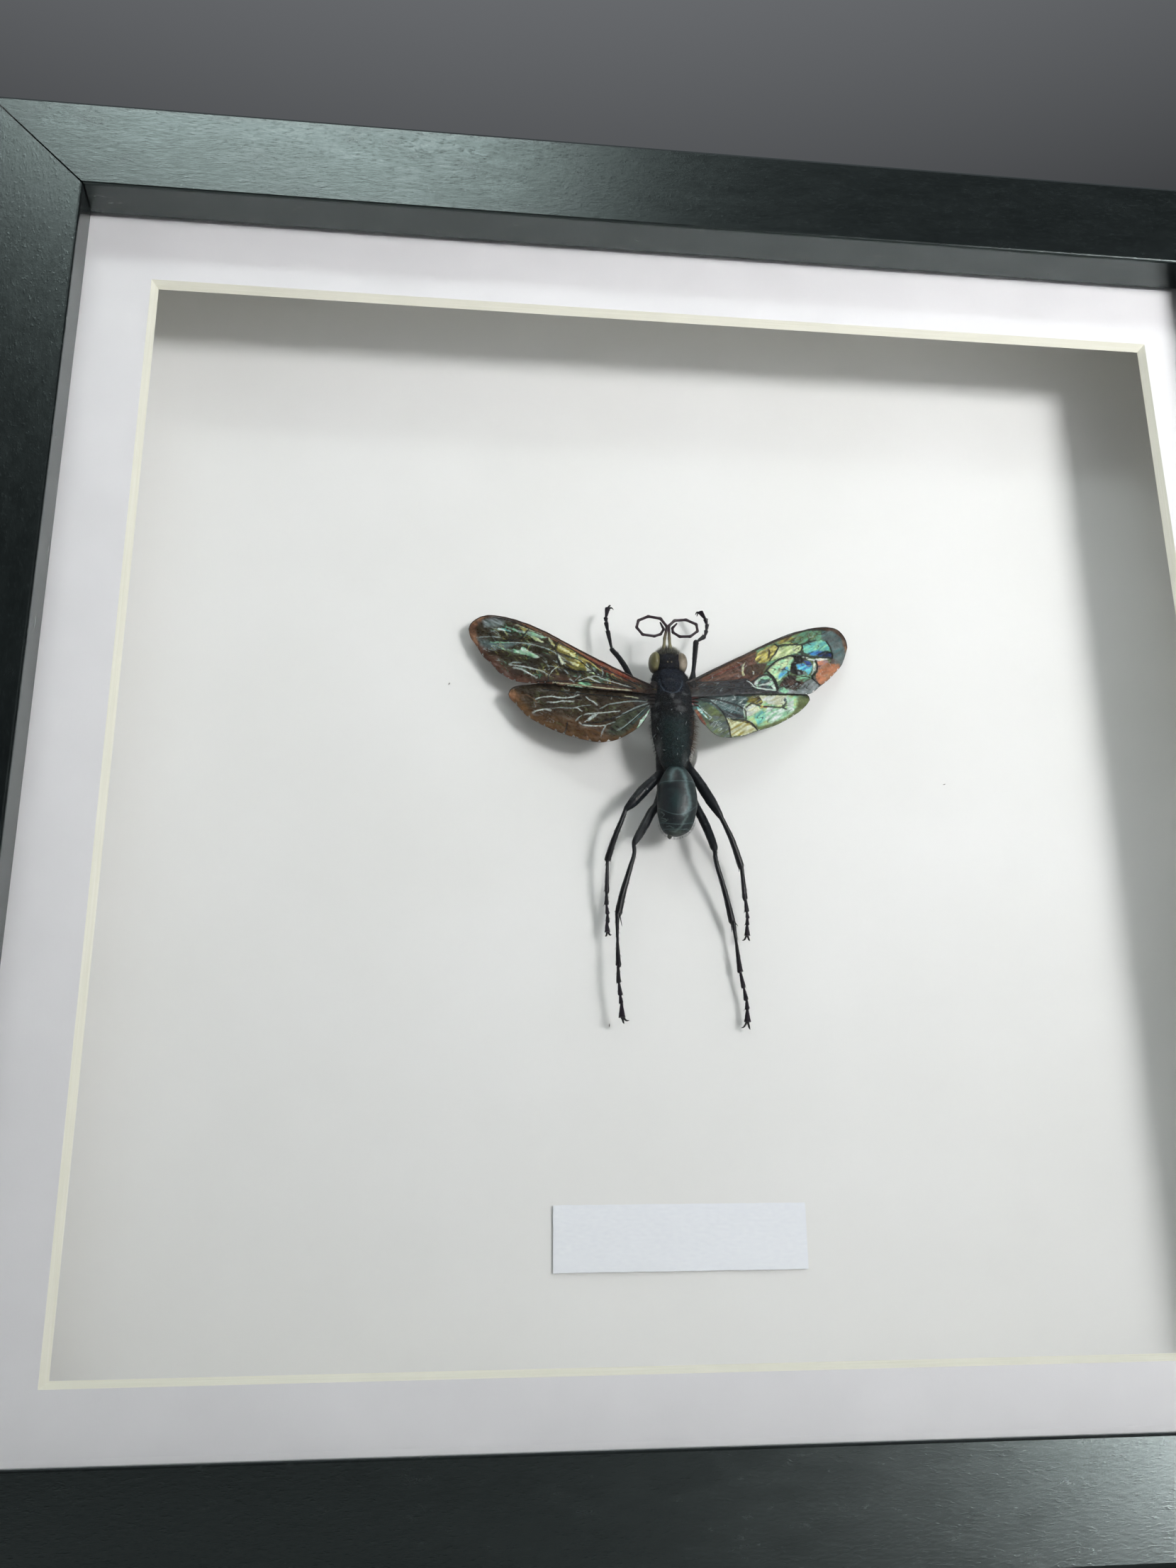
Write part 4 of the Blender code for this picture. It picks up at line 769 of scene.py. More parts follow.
            [(4.4, 23.2), (7.9, 25.6), (12.6, 28.7), (16.7, 31.4), (20.2, 33.6), (23.8, 35.6), (26.9, 36.8),
             (30.1, 37.4)],
            [(17.8, 26.6), (18.9, 28), (20.6, 29.6), (22.7, 30.7), (24.5, 31.2), (27.2, 31.3), (29.7, 31.6),
             (31.6, 31.8), (31.7, 32.8), (30.6, 32.9), (28.7, 32)],
            [(20.8, 32.2), (20, 30.7), (18.9, 29.2)],
            [(20.1, 32.7), (20.8, 32.4), (21.5, 32.8), (23.6, 33.2), (25.5, 33.5), (26.5, 34.1),
             (28.4, 34.9)],
            [(25.5, 33.5), (25.6, 32.8), (25.2, 32.1)],
            [(18.2, 26.9), (19.4, 25.9), (19.9, 24.9), (20.3, 23.8), (19.9, 23.1)],
            [(15.1, 23.3), (16.3, 22.9), (18, 22.9), (19.9, 23)],
            [(15.1, 24.2), (16.1, 25.1), (17, 25.8), (18.2, 26.2), (19.2, 25.6), (19.8, 24.2)],
            [(4.6, 22.6), (8.2, 23.3), (11.6, 24), (14, 24.7), (14.9, 24.2), (15.9, 23.4)],
            [(4.7, 21.8), (9.6, 22.5), (13.9, 22.7), (17, 22.7), (20.2, 22.9)],
            [(27.4, 27.5), (27.3, 26.9), (28.7, 25.8)],
            [(30.7, 35), (31.4, 34), (31.7, 32.8)],
            [(28.2, 30.7), (28.5, 29.6), (28.2, 28.4), (27.2, 27.2)],
        ]),
    # Its moss membrane and green, turquoise, mint and cream patches are iridescent sheen, painted on.
    "hind_right": dict(
        membrane=MOSS, front=TEAL, rear=MOSS, tip=MOSS, root=TEAL, nicks=0.3, rib=0.1, crease_shading=0.36,
        glint_and_shade_threads=[(81, INK, 0.9, 0.1), (84, FROST, 0.7, 0.06), (87, TEAL, 0.5, 0.1),
                  (93, FROST, 0.8, 0.06)],
        patches=[
            (TEAL, SLATE, 0.15, [(4.6, 20.2), (8.9, 21.8), (13.9, 21.6), (15.1, 20.6), (13.9, 19.8),
                (13.4, 18.4), (13.8, 17), (12.2, 16.8), (10.1, 16.7), (7.8, 18.6)]),
            (SMOKE, PITCH, 0.2, [(8.5, 18.4), (10.1, 16.9), (13.6, 17.1), (13.3, 17.7), (11, 17.9)]),
            (LIME, MINT, 0.4, [(13.9, 19.8), (15.9, 21.9), (22.4, 23.2), (24.2, 22.8), (23.9, 20.9),
                (22.6, 19.3), (20.7, 18), (18.2, 16.6), (16.2, 16), (13.8, 17), (13.5, 18.4)]),
            (CREAM, FROST, 0.06, [(15.9, 21.9), (22.2, 22.9), (21.9, 21.4), (21, 20.7), (18.6, 20.5),
                (17.5, 21.1)]),
            (FROST, CREAM, 0.06, [(13.9, 19.4), (15.1, 20.4), (16.2, 19.9), (17, 19.2), (15.4, 17.9),
                (14, 17.6), (13.6, 18.4)]),
            (TURQUOISE, MINT, 0.3, [(15.3, 18.2), (16.8, 19.2), (18.4, 18.8), (18.9, 18.4), (17.3, 17.1),
                (16.1, 16), (15.6, 17.2)]),
            (MINT, FROST, 0.2, [(18, 19.9), (21.6, 20.1), (22.9, 21.3), (23.4, 20.2), (21.1, 18.2),
                (18.5, 16.8), (17.5, 17.7)]),
            (FROST, MINT, 0.15, [(22, 22.6), (23.4, 22.6), (23.3, 20.9), (22.1, 20.4)]),
            (PITCH, OLIVE, 0.12, [(13.9, 20.4), (15.1, 21.7), (16.5, 22), (17.3, 20.9), (16.8, 20.1),
                (15.5, 20.3)]),
            (APRICOT, GOLD, 0.06, [(16.5, 20.2), (18.2, 20.2), (18, 19.8), (16.7, 19.5)]),
            (INK, TEAL, 0.06, [(21.3, 21.9), (21.8, 22.5), (22.1, 21.6), (21.8, 21.2)]),
            (SLATE, MOSS, 0.1, [(6.7, 16.5), (7.7, 16.9), (9.7, 16.8), (10.4, 15.2), (10.7, 12.9),
                (8.6, 12.8), (6.8, 14.1)]),
            (CREAM, OLIVE, 0.06, [(10.1, 16.7), (11.4, 16.3), (14.5, 16.3), (15.9, 15.1), (13.6, 13.9),
                (10.9, 13.3), (10.5, 15.2)]),
            (PITCH, OLIVE, 0.08, [(11.2, 16.8), (13.4, 16.8), (14.9, 16.5), (16, 15.1), (14.7, 15.9),
                (12.9, 16.4)]),
            (TURQUOISE, FROST, 0.05, [(4.2, 18.8), (5.4, 17.6), (6.5, 16.2), (6, 16.4), (4.7, 17.6)]),
            (FROST, TEAL, 0.05, [(4.9, 18.6), (6, 17.5), (7.1, 16.8), (6.9, 16.5), (5.6, 17.6)]),
            (RUST, TAN, 0.06, [(4, 17.5), (4.9, 16), (5.9, 14.6), (6.2, 15), (5.3, 16.6), (4.5, 17.7)]),
        ],
        folds_and_glints=[
            (FROST, 0.12, [(10.3, 22.5), (10.8, 21.9), (11.7, 21.4)]),
            (FROST, 0.09, [(11.8, 21.3), (11.9, 20.7), (11.3, 20.6)]),
            (FROST, 0.13, [(12.7, 20), (13.2, 20.5)]),
            (FROST, 0.1, [(4.6, 20.9), (5.2, 20.8)]),
            (CREAM, 0.09, [(10.2, 16.6), (10.7, 15.9), (11, 15)]),
            (SLATE, 0.09, [(6.3, 20.2), (9.2, 20.8), (13.1, 20.7)]),
            (ASH, 0.08, [(7.8, 19.6), (10.1, 18.9), (13, 18.1)]),
            (SLATE, 0.08, [(8.2, 18.9), (10.1, 17.7), (12.2, 17)]),
            (FROST, 0.08, [(13.5, 19.2), (13.4, 18.4), (13.7, 17.4)]),
        ],
        veins=[
            [(4.8, 20.2), (8.8, 20.1), (12.3, 19.5), (13.8, 18.6), (13.8, 17)],
            [(4.4, 19.8), (7.3, 19.5), (9.1, 18.2), (9.9, 16.8), (10.5, 15.1), (10.7, 13.2)],
            [(17.4, 20), (21, 20.3), (21.4, 20.7), (21.8, 21.3)],
            [(21, 20.3), (21.8, 20.1)],
            [(11, 16.6), (13.4, 16.8), (14.9, 16.4), (16, 15.1)],
            [(13.9, 19.3), (15.1, 20.3), (16.8, 20)],
            [(5, 20.4), (9.3, 21.6), (13.9, 21.6), (15.9, 22.1), (22.2, 23.1), (25.9, 23.5)],
        ]),
}


# Wings

def to_segments(points, line):
    """Distance from each (across, up) point to a line of segments."""
    best = np.full(len(points), np.inf)
    for start, end in zip(line, line[1:]):
        a, b = np.array(start), np.array(end)
        share = np.clip(((points - a) @ (b - a)) / max((b - a) @ (b - a), 1e-9), 0, 1)
        best = np.minimum(best, np.linalg.norm(points - (a + share[:, None] * (b - a)), axis=1))
    return best


def depth_inside(points, outline):
    """Distance to an outline's edge, positive inside it."""
    x, z = points.T
    odd = np.zeros(len(points), bool)
    for (ax, az), (bx, bz) in zip(outline, outline[1:] + outline[:1]):
        if az != bz:
            odd ^= ((az > z) != (bz > z)) & (x < (bx - ax) * (z - az) / (bz - az) + ax)
    distance = to_segments(points, outline + outline[:1])
    return np.where(odd, distance, -distance)


def wing_height(shape, x, z):
    """Height of a wing's membrane off the board, with its crumpled relief."""
    out = np.maximum(0, np.abs(x) - HINGE)
    fade = np.minimum(1, out / 6)
    flat = np.stack([x, z, np.zeros_like(x)], axis=-1)
    creases = 0.16 * np.abs(lumps(flat, 0.45, shape["base"])) + 0.12 * np.abs(lumps(flat, 1.1, 5))
    relief = creases - 0.06 + 0.03 * lumps(flat, 2.6, 9)
    arch = ARCH * np.sin(math.pi * np.minimum(out / WING_REACH, 1))
    return shape["base"] - shape["droop"] * out + arch + fade * relief


def wing_colours(side, marks, points, from_lead, from_trail, from_tip):
    """Membrane colours: margins and patches, then painted light and shade of creases, veins and folds."""
    x, z = side * points[:, 0], points[:, 1]
    flat = np.column_stack([x, z, 0 * x])
    along = np.column_stack([0.8 * x + 0.6 * side * z, 0.8 * z - 0.6 * side * x, 0 * x])

    def drawn_out(run, over, scale, seed):
        """Noise stretched along the wing's veins."""
        return lumps(along * np.array([run, over, 1]), scale, seed)

    coarse = lumps(flat, 0.6, 1)
    fine = lumps(flat, 2.8, 2)
    streaks = drawn_out(0.5, 2.6, 1.0, 3)
    ragged = 0.1 * fine + 0.08 * drawn_out(2.0, 6.0, 1.0, 4)
    colours = np.tile(np.array(marks["membrane"]), (len(points), 1))
    colours *= (1 + 0.3 * coarse + 0.35 * streaks)[:, None]

    def paint(tint, share):
        colours[:] = blend(colours, tint, np.clip(share, 0, 1)[:, None])

    paint(marks["front"], smoothstep(1.6, 0.2, from_lead + 0.6 * coarse) * 0.85)
    paint(marks["rear"], smoothstep(2.2, 0.1, from_trail + 0.8 * coarse))
    paint(marks["tip"], smoothstep(1.9, 0.3, from_tip + 0.5 * coarse))
    paint(marks["root"], smoothstep(8.0, 4.0, points[:, 0] + 1.2 * streaks) * 0.9)
    mixed = smoothstep(-0.35, 0.55, streaks + 0.4 * coarse)[:, None]
    for tint, second, soft, outline in marks["patches"]:
        paint(blend(np.array(tint), second, mixed),
              smoothstep(-soft, soft, depth_inside(points, outline) + ragged))
    crease_light_and_shade = drawn_out(0.5, 1.5, 0.9, 11) + 0.25 * fine
    # Painted light and shade: the creases brighten and darken the film's colours.
    colours *= np.clip(1 + marks["crease_shading"] * (1.1 * crease_light_and_shade + 0.9 * streaks), 0.15, 2.2)[:, None]
    inner = smoothstep(2.5, 6.0, from_tip) * smoothstep(0.4, 1.2, np.minimum(from_lead, from_trail))
    # Thin threads in the creases: painted glints where they are light, painted shade where dark.
    for seed, tint, strength, wide in marks["glint_and_shade_threads"]:
        thread = np.abs(drawn_out(0.55, 1.7, 0.8, seed))
        patchy = smoothstep(0.0, 0.35, lumps(flat, 0.4, seed + 1))
        paint(tint, strength * inner * patchy * smoothstep(wide, 0.2 * wide, thread))
    rib = marks["rib"]
    # Dark veins, with painted shade beside them on the membrane.
    for line in marks["veins"]:
        paint(INK, 0.8 * smoothstep(2.6 * rib, 0.8 * rib, to_segments(points, line) + 0.7 * ragged))
    # A soft band of each fold's colour round its line: painted glow round the pale glints.
    for tint, width, line in marks["folds_and_glints"]:
        paint(tint, 0.4 * smoothstep(1.8 * width, 0.4 * width, to_segments(points, line) + 1.5 * ragged))
    return np.clip(colours * (1 + 0.12 * fine)[:, None], 0.002, 1)


def nick_depths(length, count, deepest):
    """How far a wing's hind margin is worn back at each station."""
    at = np.linspace(0, length, count)
    wear_back = 0.1 * np.abs(lumps(np.column_stack([at, at * 0, at * 0]), 0.9, length))
    for middle in np.arange(0.25 * length, 0.93 * length, 1.7):
        middle += rng.uniform(-0.6, 0.6)
        depth = deepest * rng.uniform(0.3, 1.0)
        wear_back = np.maximum(wear_back, depth * (1 - np.abs(at - middle) / rng.uniform(0.15, 0.4)))
    return wear_back * smoothstep(0.2 * length, 0.35 * length, at) * smoothstep(length, 0.95 * length, at)


def wing_membrane(name, shape, marks, material):
    """A thin crumpled sheet between the wing's two edges, worn at its hind margin."""
    along, across, thickness = 300, 80, 0.07
    lead, trail = (spline([(x, z, 0) for x, z in shape[edge]], count=along)[:, :2]
                   for edge in ("lead", "trail"))
    length = np.linalg.norm(np.diff(trail, axis=0), axis=1).sum()
    width = np.linalg.norm(trail - lead, axis=1)
    worn = np.minimum(nick_depths(length, along, marks["nicks"]), 0.3 * width)
    trail = trail + (lead - trail) * (worn / np.maximum(width, 0.01))[:, None]
    share = np.linspace(0, 1, across)[None, :, None]
    points = (lead[:-1, None] * (1 - share) + trail[:-1, None] * share).reshape(-1, 2)
    points = np.vstack([points, lead[-1:]])
    from_lead, from_trail = (to_segments(points, edge[::4].tolist()) for edge in (lead, trail))
    from_tip = np.linalg.norm(points - lead[-1], axis=1)
    colours = wing_colours(shape["side"], marks, points, from_lead, from_trail, from_tip)
    x, z = shape["side"] * points[:, 0], points[:, 1]
    height = wing_height(shape, x, z)
    half = thickness / 2 * smoothstep(-0.05, 0.4, np.minimum(from_lead, from_trail))
    faces = ring_faces(along - 1, across, closed=False)
    end = len(points) - 1
    last = (along - 2) * across
    faces += [(last + i, last + i + 1, end) for i in range(across - 1)]
    rim = [r * across for r in range(along - 1)] + [end]
    rim += [r * across + across - 1 for r in reversed(range(along - 1))]
    rim += list(reversed(range(1, across - 1)))
    sheets = [np.column_stack([x, z, height + sign * half]) for sign in (1, -1)]
    skin = Skin()
    skin.add(world(np.vstack(sheets)), np.vstack([colours, colours]), sheet_faces(faces, rim, len(points)))
    skin.build("wing_" + name, material, "wasp_shell", ["wasp"])


def on_wing(shape, line, lift, step):
    """A line of (outwards, up) points laid on the membrane, as (across, up, height) rows."""
    rows = spline([(shape["side"] * x, z, 0) for x, z in line], step)
    rows[:, 2] = wing_height(shape, rows[:, 0], rows[:, 1]) + lift
    return rows


def wing_veins(name, shape, marks, material):
    """Dark ribs: the thick leading edge, the veins across the membrane and the thin hind rim."""
    skin = Skin()
    dark = np.array(rgb(34, 24, 20))
    rust = np.array(rgb(70, 34, 22) if shape["side"] < 0 else rgb(52, 36, 26))
    rows = on_wing(shape, shape["lead"], 0.0, 0.25)
    t = np.linspace(0, 1, len(rows))
    skin.add(tube_rings(rows, 0.2 - 0.12 * t, 8), dark + (rust - dark) * np.sin(math.pi * t)[:, None] * 0.8)
    ribs = [(vein, marks["rib"], INK) for vein in marks["veins"]]
    for line, radius, tint in ribs + [(shape["trail"][1:], 0.04, dark)]:
        rows = on_wing(shape, line, 0.02, 0.15)
        radii = radius * (1 + 0.35 * lumps(rows, 0.9, 3)) * np.linspace(1, 0.6, len(rows))
        skin.add(tube_rings(rows, radii, 6), tint)
    skin.build("veins_" + name, material, "wasp_shell")


def wing_folds_and_glints(name, shape, marks, material):
    """Flat slivers that taper at both ends: pale painted glints on the creases, and a few coloured lines."""
    skin = Skin()
    for tint, width, line in marks["folds_and_glints"]:
        rows = on_wing(shape, line, 0.03, 0.12)
        t = np.linspace(0, 1, len(rows))
        ragged = 0.8 + 0.9 * lumps(rows, 2.2, 6)
        taper = np.sqrt(np.sin(math.pi * np.clip(t, 0.02, 0.98)))
        radii = np.maximum(0.66 * width * taper * ragged, 0.015)
        shades = np.array(tint) * (1 + 0.35 * lumps(rows, 1.1, 8))[:, None]
        skin.add(tube_rings(rows, radii, 6, flat=0.35), shades)
    skin.build("glints_" + name, material, "wasp_shell")


def membrane_material():
    """Thin dry film: satin, with fine ribs, and light that comes through reddish."""
    made = Shader("wing_film", IOR=1.5, Specular_IOR_Level=0.4)
    ribs = made.noise(3200, 4, 0.6, made.place(0.5, 1, 1.2))
    cells = made.cells(5200)
    film = made.attribute("tint")
    made.set("Base Color", made.mix(made.span(ribs, 0.4, 0.7, 0.0, 0.22), film, (0.012, 0.01, 0.008)))
    made.set("Roughness", made.span(ribs, 0.3, 0.7, 0.22, 0.4))
    made.bump(made.math("ADD", ribs, made.math("MULTIPLY", cells, 0.3)), 0.00005, 0.4)
    through = made.node("BsdfTranslucent")
    made.feed(through.inputs["Color"], made.mix(0.6, film, (0.45, 0.19, 0.09)))
    both = made.node("MixShader")
    both.inputs[0].default_value = 0.15
    made.feed(both.inputs[1], made.shader.outputs[0])
    made.feed(both.inputs[2], through.outputs[0])
    output = made.tree.nodes["Material Output"]
    made.feed(output.inputs["Surface"], both.outputs[0])
    return made.material


def tinted(name, low, high, scale, distance, **values):
    """Coloured by the mesh's tint, broken up by noise, with a roughness from low to high."""
    made = Shader(name, **values)
    grain = made.noise(scale, 5, 0.6)
    made.set("Base Color", made.mix(made.span(grain, 0.35, 0.7, 0.0, 0.35), made.attribute("tint"),
                                    (0.003, 0.004, 0.005)))
    made.set("Roughness", made.span(grain, 0.3, 0.7, low, high))
    made.bump(grain, distance, 0.6)
    return made.material


def make_wings():
    film = membrane_material()
    ribs = tinted("wing_veins", 0.3, 0.45, 2500, 0.00002)
    glints = tinted("wing_glints", 0.15, 0.3, 3500, 0.00002, Specular_IOR_Level=0.7)
    for name, shape in WINGS.items():
        wing_membrane(name, shape, WING_MARKS[name], film)
        wing_veins(name, shape, WING_MARKS[name], ribs)
        wing_folds_and_glints(name, shape, WING_MARKS[name], glints)


# Body

def body_rings(stations, step, sides):
    """Fine rings across the body: their places (across, up, height) and outward directions."""
    rows = spline([(up, 0, 0, across, half, height, depth) for up, across, half, height, depth in stations],
                  step)
    up, across, half, height, depth = (rows[:, n, None] for n in (0, 3, 4, 5, 6))
    a = 2 * math.pi * np.arange(sides) / sides
    c, s = np.cos(a)[None], np.sin(a)[None]
    places = np.stack([across + half * c, up + 0 * c, height + depth * s], axis=-1)
    wide, deep = np.maximum(half, 0.1), np.maximum(depth, 0.1)
    slope = -np.gradient(half[:, 0], up[:, 0])[:, None] / wide
    return places, unit(np.stack([c / wide, slope + 0 * c, s / deep], axis=-1))


def skin_of(places, outward, relief, colours):
    """A closed body skin from its rings, moved out by the relief."""
    skin = Skin()
    skin.add(world(places + outward * relief[..., None]), colours)
    return skin


def shell_colour(places, dark, light, scale=0.5, seed=0):
    """A mottle from dark to light."""
    return blend(np.array(dark), light, smoothstep(-0.4, 0.6, lumps(places, scale, seed))[..., None])


def dab(colours, places, x, up, wide, long, tint, strength):
    """Lighten or darken a soft spot on the upper side of the body."""
    reach = np.hypot((places[..., 0] - x) / wide, (places[..., 1] - up) / long)
    share = smoothstep(1.2, 0.3, reach + 0.25 * lumps(places, 1.8, 3)) * (places[..., 2] > 7) * strength
    return blend(colours, tint, share[..., None])


def line_near(places, line):
    """Distance from each place to a line, seen from above."""
    return to_segments(places[..., :2].reshape(-1, 2), line).reshape(places.shape[:-1])


def streak(colours, places, line, width, tint, strength):
    """A soft pale line on the upper side of the body, such as a painted highlight or a scratch."""
    reach = line_near(places, line) + 0.5 * width * lumps(places, 2.5, 7)
    share = np.exp(-(reach / width) ** 2) * smoothstep(7.0, 8.2, places[..., 2]) * strength
    return blend(colours, tint, share[..., None])


def height_on(stations, x, up):
    """Height of a body's upper side at a place."""
    known = np.array(stations)[::-1]
    across, half, height, depth = (np.interp(up, known[:, 0], known[:, n]) for n in (1, 2, 3, 4))
    return height + depth * math.sqrt(max(0.0, 1 - ((x - across) / half) ** 2))


SHIELD = [(-2.4, 23.0), (-2.2, 21.5), (-1.6, 20.3), (-0.3, 19.7), (0.8, 20.0), (1.5, 21.1), (1.9, 22.6)]
SCUTUM_GROOVES = [[(-1.3, 19.6), (-1.1, 18.2), (-1.0, 16.8)], [(1.4, 19.6), (1.3, 18.2), (1.2, 16.8)]]

# Grey dust on the thorax: across, up, half width, half length, strength
DUST = [(-0.2, 19.3, 0.45, 0.6, 0.75), (2.1, 19.8, 0.7, 0.35, 0.45), (1.3, 16.9, 1.2, 0.7, 0.55),
        (0.6, 18.1, 0.9, 0.6, 0.4), (-2.9, 18.0, 0.7, 0.5, 0.5), (-3.1, 16.0, 0.4, 0.9, 0.4),
        (-2.6, 9.6, 0.7, 2.6, 0.6), (2.1, 8.0, 0.7, 1.6, 0.4), (-0.5, 22.6, 1.2, 0.3, 0.2)]
# Pale flecks lying on it: across, up, length, lean
FLECKS = [(-2.75, 13.55, 0.75, -0.35), (2.25, 14.4, 0.7, 0.3), (1.25, 16.0, 0.5, -0.8),
          (-2.15, 11.65, 0.35, 0.8), (0.6, 11.3, 0.3, 0.2), (-1.7, 9.55, 0.5, -1.2), (0.6, 8.65, 0.45, 0.1),
          (1.55, 10.15, 0.4, 1.2), (-3.2, 12.6, 0.4, 1.2), (-3.1, 12.1, 0.35, -0.5), (-0.4, 16.6, 0.3, 0.9)]


def thorax_colours(places):
    """Blue-black in front, dark teal behind, dusted grey."""
    colours = shell_colour(places, rgb(5, 7, 10), rgb(14, 20, 26), 1.3, 5)
    teal = smoothstep(16.8, 14.0, places[..., 1]) * smoothstep(3.4, 1.4, np.abs(places[..., 0] - 0.3))
    colours = colours + teal[..., None] * 0.7 * np.array(rgb(4, 34, 32))
    blue = smoothstep(19.6, 20.6, places[..., 1]) * smoothstep(2.8, 1.8, np.abs(places[..., 0] + 0.3))
    colours = colours + blue[..., None] * 0.4 * np.array(rgb(8, 22, 44))
    colours *= (1 + 0.6 * lumps(places, 2.5, 9))[..., None]
    for x, up, wide, long, strength in DUST:
        colours = dab(colours, places, x, up, wide, long, rgb(104, 106, 108), strength)
    return streak(colours, places, SHIELD, 0.1, rgb(92, 106, 124), 0.5)


def make_thorax(material, dry):
    """Black-blue velvet: a lumpy skin and a few pale flecks on it."""
    places, outward = body_rings(THORAX, 0.08, 150)
    top = smoothstep(6.5, 8.5, places[..., 2])
    relief = 0.1 * lumps(places, 0.9, 1) + 0.1 * lumps(places, 2.2, 2) + 0.07 * lumps(places, 5.5, 3) - 0.05
    relief -= top * 0.2 * np.exp(-(line_near(places, SHIELD) / 0.2) ** 2)
    for line in SCUTUM_GROOVES:
        relief -= top * 0.12 * np.exp(-(line_near(places, line) / 0.2) ** 2)
    skin_of(places, outward, relief, thorax_colours(places)).build("thorax", material, "wasp_shell")
    flecks = Skin()
    for x, up, long, lean in FLECKS:
        sliver(flecks, x, up, lambda a, b: height_on(THORAX, a, b) + 0.12, long, lean, [0.03, 0.08, 0.03],
               0.05, rgb(128, 138, 140), 0.5)
    flecks.build("flecks", dry, "wasp_shell")


# Hind edges of the abdomen's plates: up at the middle, how much the edge curves, and its step
PLATES = [(3.4, 0.03, 0.09), (-2.7, 0.16, 0.1), (-4.35, 0.08, 0.07), (-5.2, 0.05, 0.05)]
# Broad tones between them: across, up, half width, half length, colour, strength
TONES = [(0.4, -0.2, 1.5, 2.2, rgb(5, 40, 42), 0.75), (-1.9, 0.2, 1.0, 2.6, rgb(24, 30, 36), 0.6),
         (0.4, 4.4, 0.9, 1.1, rgb(10, 17, 22), 0.85), (0.4, -5.6, 1.6, 0.5, rgb(72, 84, 74), 0.6)]
# Painted highlights as line, width, colour and strength: the bell's rim, the curved band and the tail's
# streak
PAINTED_SHEEN = [([(-0.75, 3.6), (-0.65, 4.7), (-0.1, 5.75), (0.65, 6.1), (1.3, 5.55), (1.85, 4.2)],
          0.36, rgb(96, 118, 120), 0.65),
         ([(1.85, 4.2), (2.15, 2.2), (2.55, 0.6), (2.65, -1.0), (2.2, -2.0), (1.4, -2.7)],
          0.36, rgb(98, 122, 124), 0.6),
         ([(2.2, -2.8), (1.55, -3.9), (0.95, -4.9), (0.1, -5.5)], 0.2, rgb(100, 120, 118), 0.55)]
SCRATCHES = [[(-2.5, -1.85), (-1.95, -2.5), (-2.35, -2.8)], [(-2.4, -3.4), (-1.8, -3.7), (-1.4, -3.5)],
             [(-2.5, -2.9), (-1.65, -3.45)], [(-1.6, -4.6), (-1.05, -4.55), (-0.3, -5.0)],
             [(-1.2, -5.3), (0.1, -5.6)], [(1.7, -5.1), (2.3, -4.9)]]
# Rings of the small knob at the tail's left
KNOB = [(-5.3, -0.75, 0.2, 6.5, 0.2), (-5.7, -0.75, 0.42, 6.5, 0.42), (-6.0, -0.75, 0.36, 6.5, 0.36),
        (-6.27, -0.75, 0.12, 6.5, 0.12)]


def make_abdomen(material):
    """Satin teal-black plates with a dark bell, and its pale rim and a curved band painted as highlights."""
    places, outward = body_rings(ABDOMEN, 0.07, 120)
    x, up = places[..., 0], places[..., 1]
    relief = 0.03 * lumps(places, 0.8, 1) + 0.012 * lumps(places, 3.0, 4) - 0.02
    colours = shell_colour(places, rgb(7, 19, 23), rgb(22, 40, 42), 0.7, 8)
    for middle, curve, step in PLATES:
        edge = middle + curve * (x - 0.4) ** 2
        relief -= step * smoothstep(edge + 0.03, edge - 0.05, up)
        relief += step * smoothstep(edge - 1.6, edge - 0.1, up) * (up < edge)
        # Pale line at each plate's hind edge: a painted highlight on the step.
        colours = blend(colours, rgb(96, 120, 124), np.exp(-((up - edge) / 0.07) ** 2)[..., None] * 0.5)
    for tone in TONES:
        colours = dab(colours, places, *tone)
    # Painted highlights, then the pale scratches.
    for mark in PAINTED_SHEEN + [(line, 0.06, rgb(130, 148, 150), 0.45) for line in SCRATCHES]:
        colours = streak(colours, places, *mark)
    skin = skin_of(places, outward, relief, colours)
    skin.add(world(body_rings(KNOB, 0.08, 20)[0]), rgb(64, 66, 58))
    skin.build("abdomen", material, "wasp_shell")


def oval(skin, centre, half, tint, rough=0.0, steps=40, shade=None):
    """A closed egg from rings. Its centre and half sizes are across, up and off the board."""
    t = np.linspace(0.04, math.pi - 0.04, steps)[:, None]
    a = (2 * math.pi * np.arange(steps) / steps)[None]
    reach = np.stack([np.sin(t) * np.cos(a), np.cos(t) + 0 * a, np.sin(t) * np.sin(a)], axis=-1)
    places = centre + reach * half
    if rough:
        places = centre + (places - centre) * (1 + rough * lumps(places, 2.0, 2))[..., None]
    skin.add(world(places), shade(places) if shade else tint)


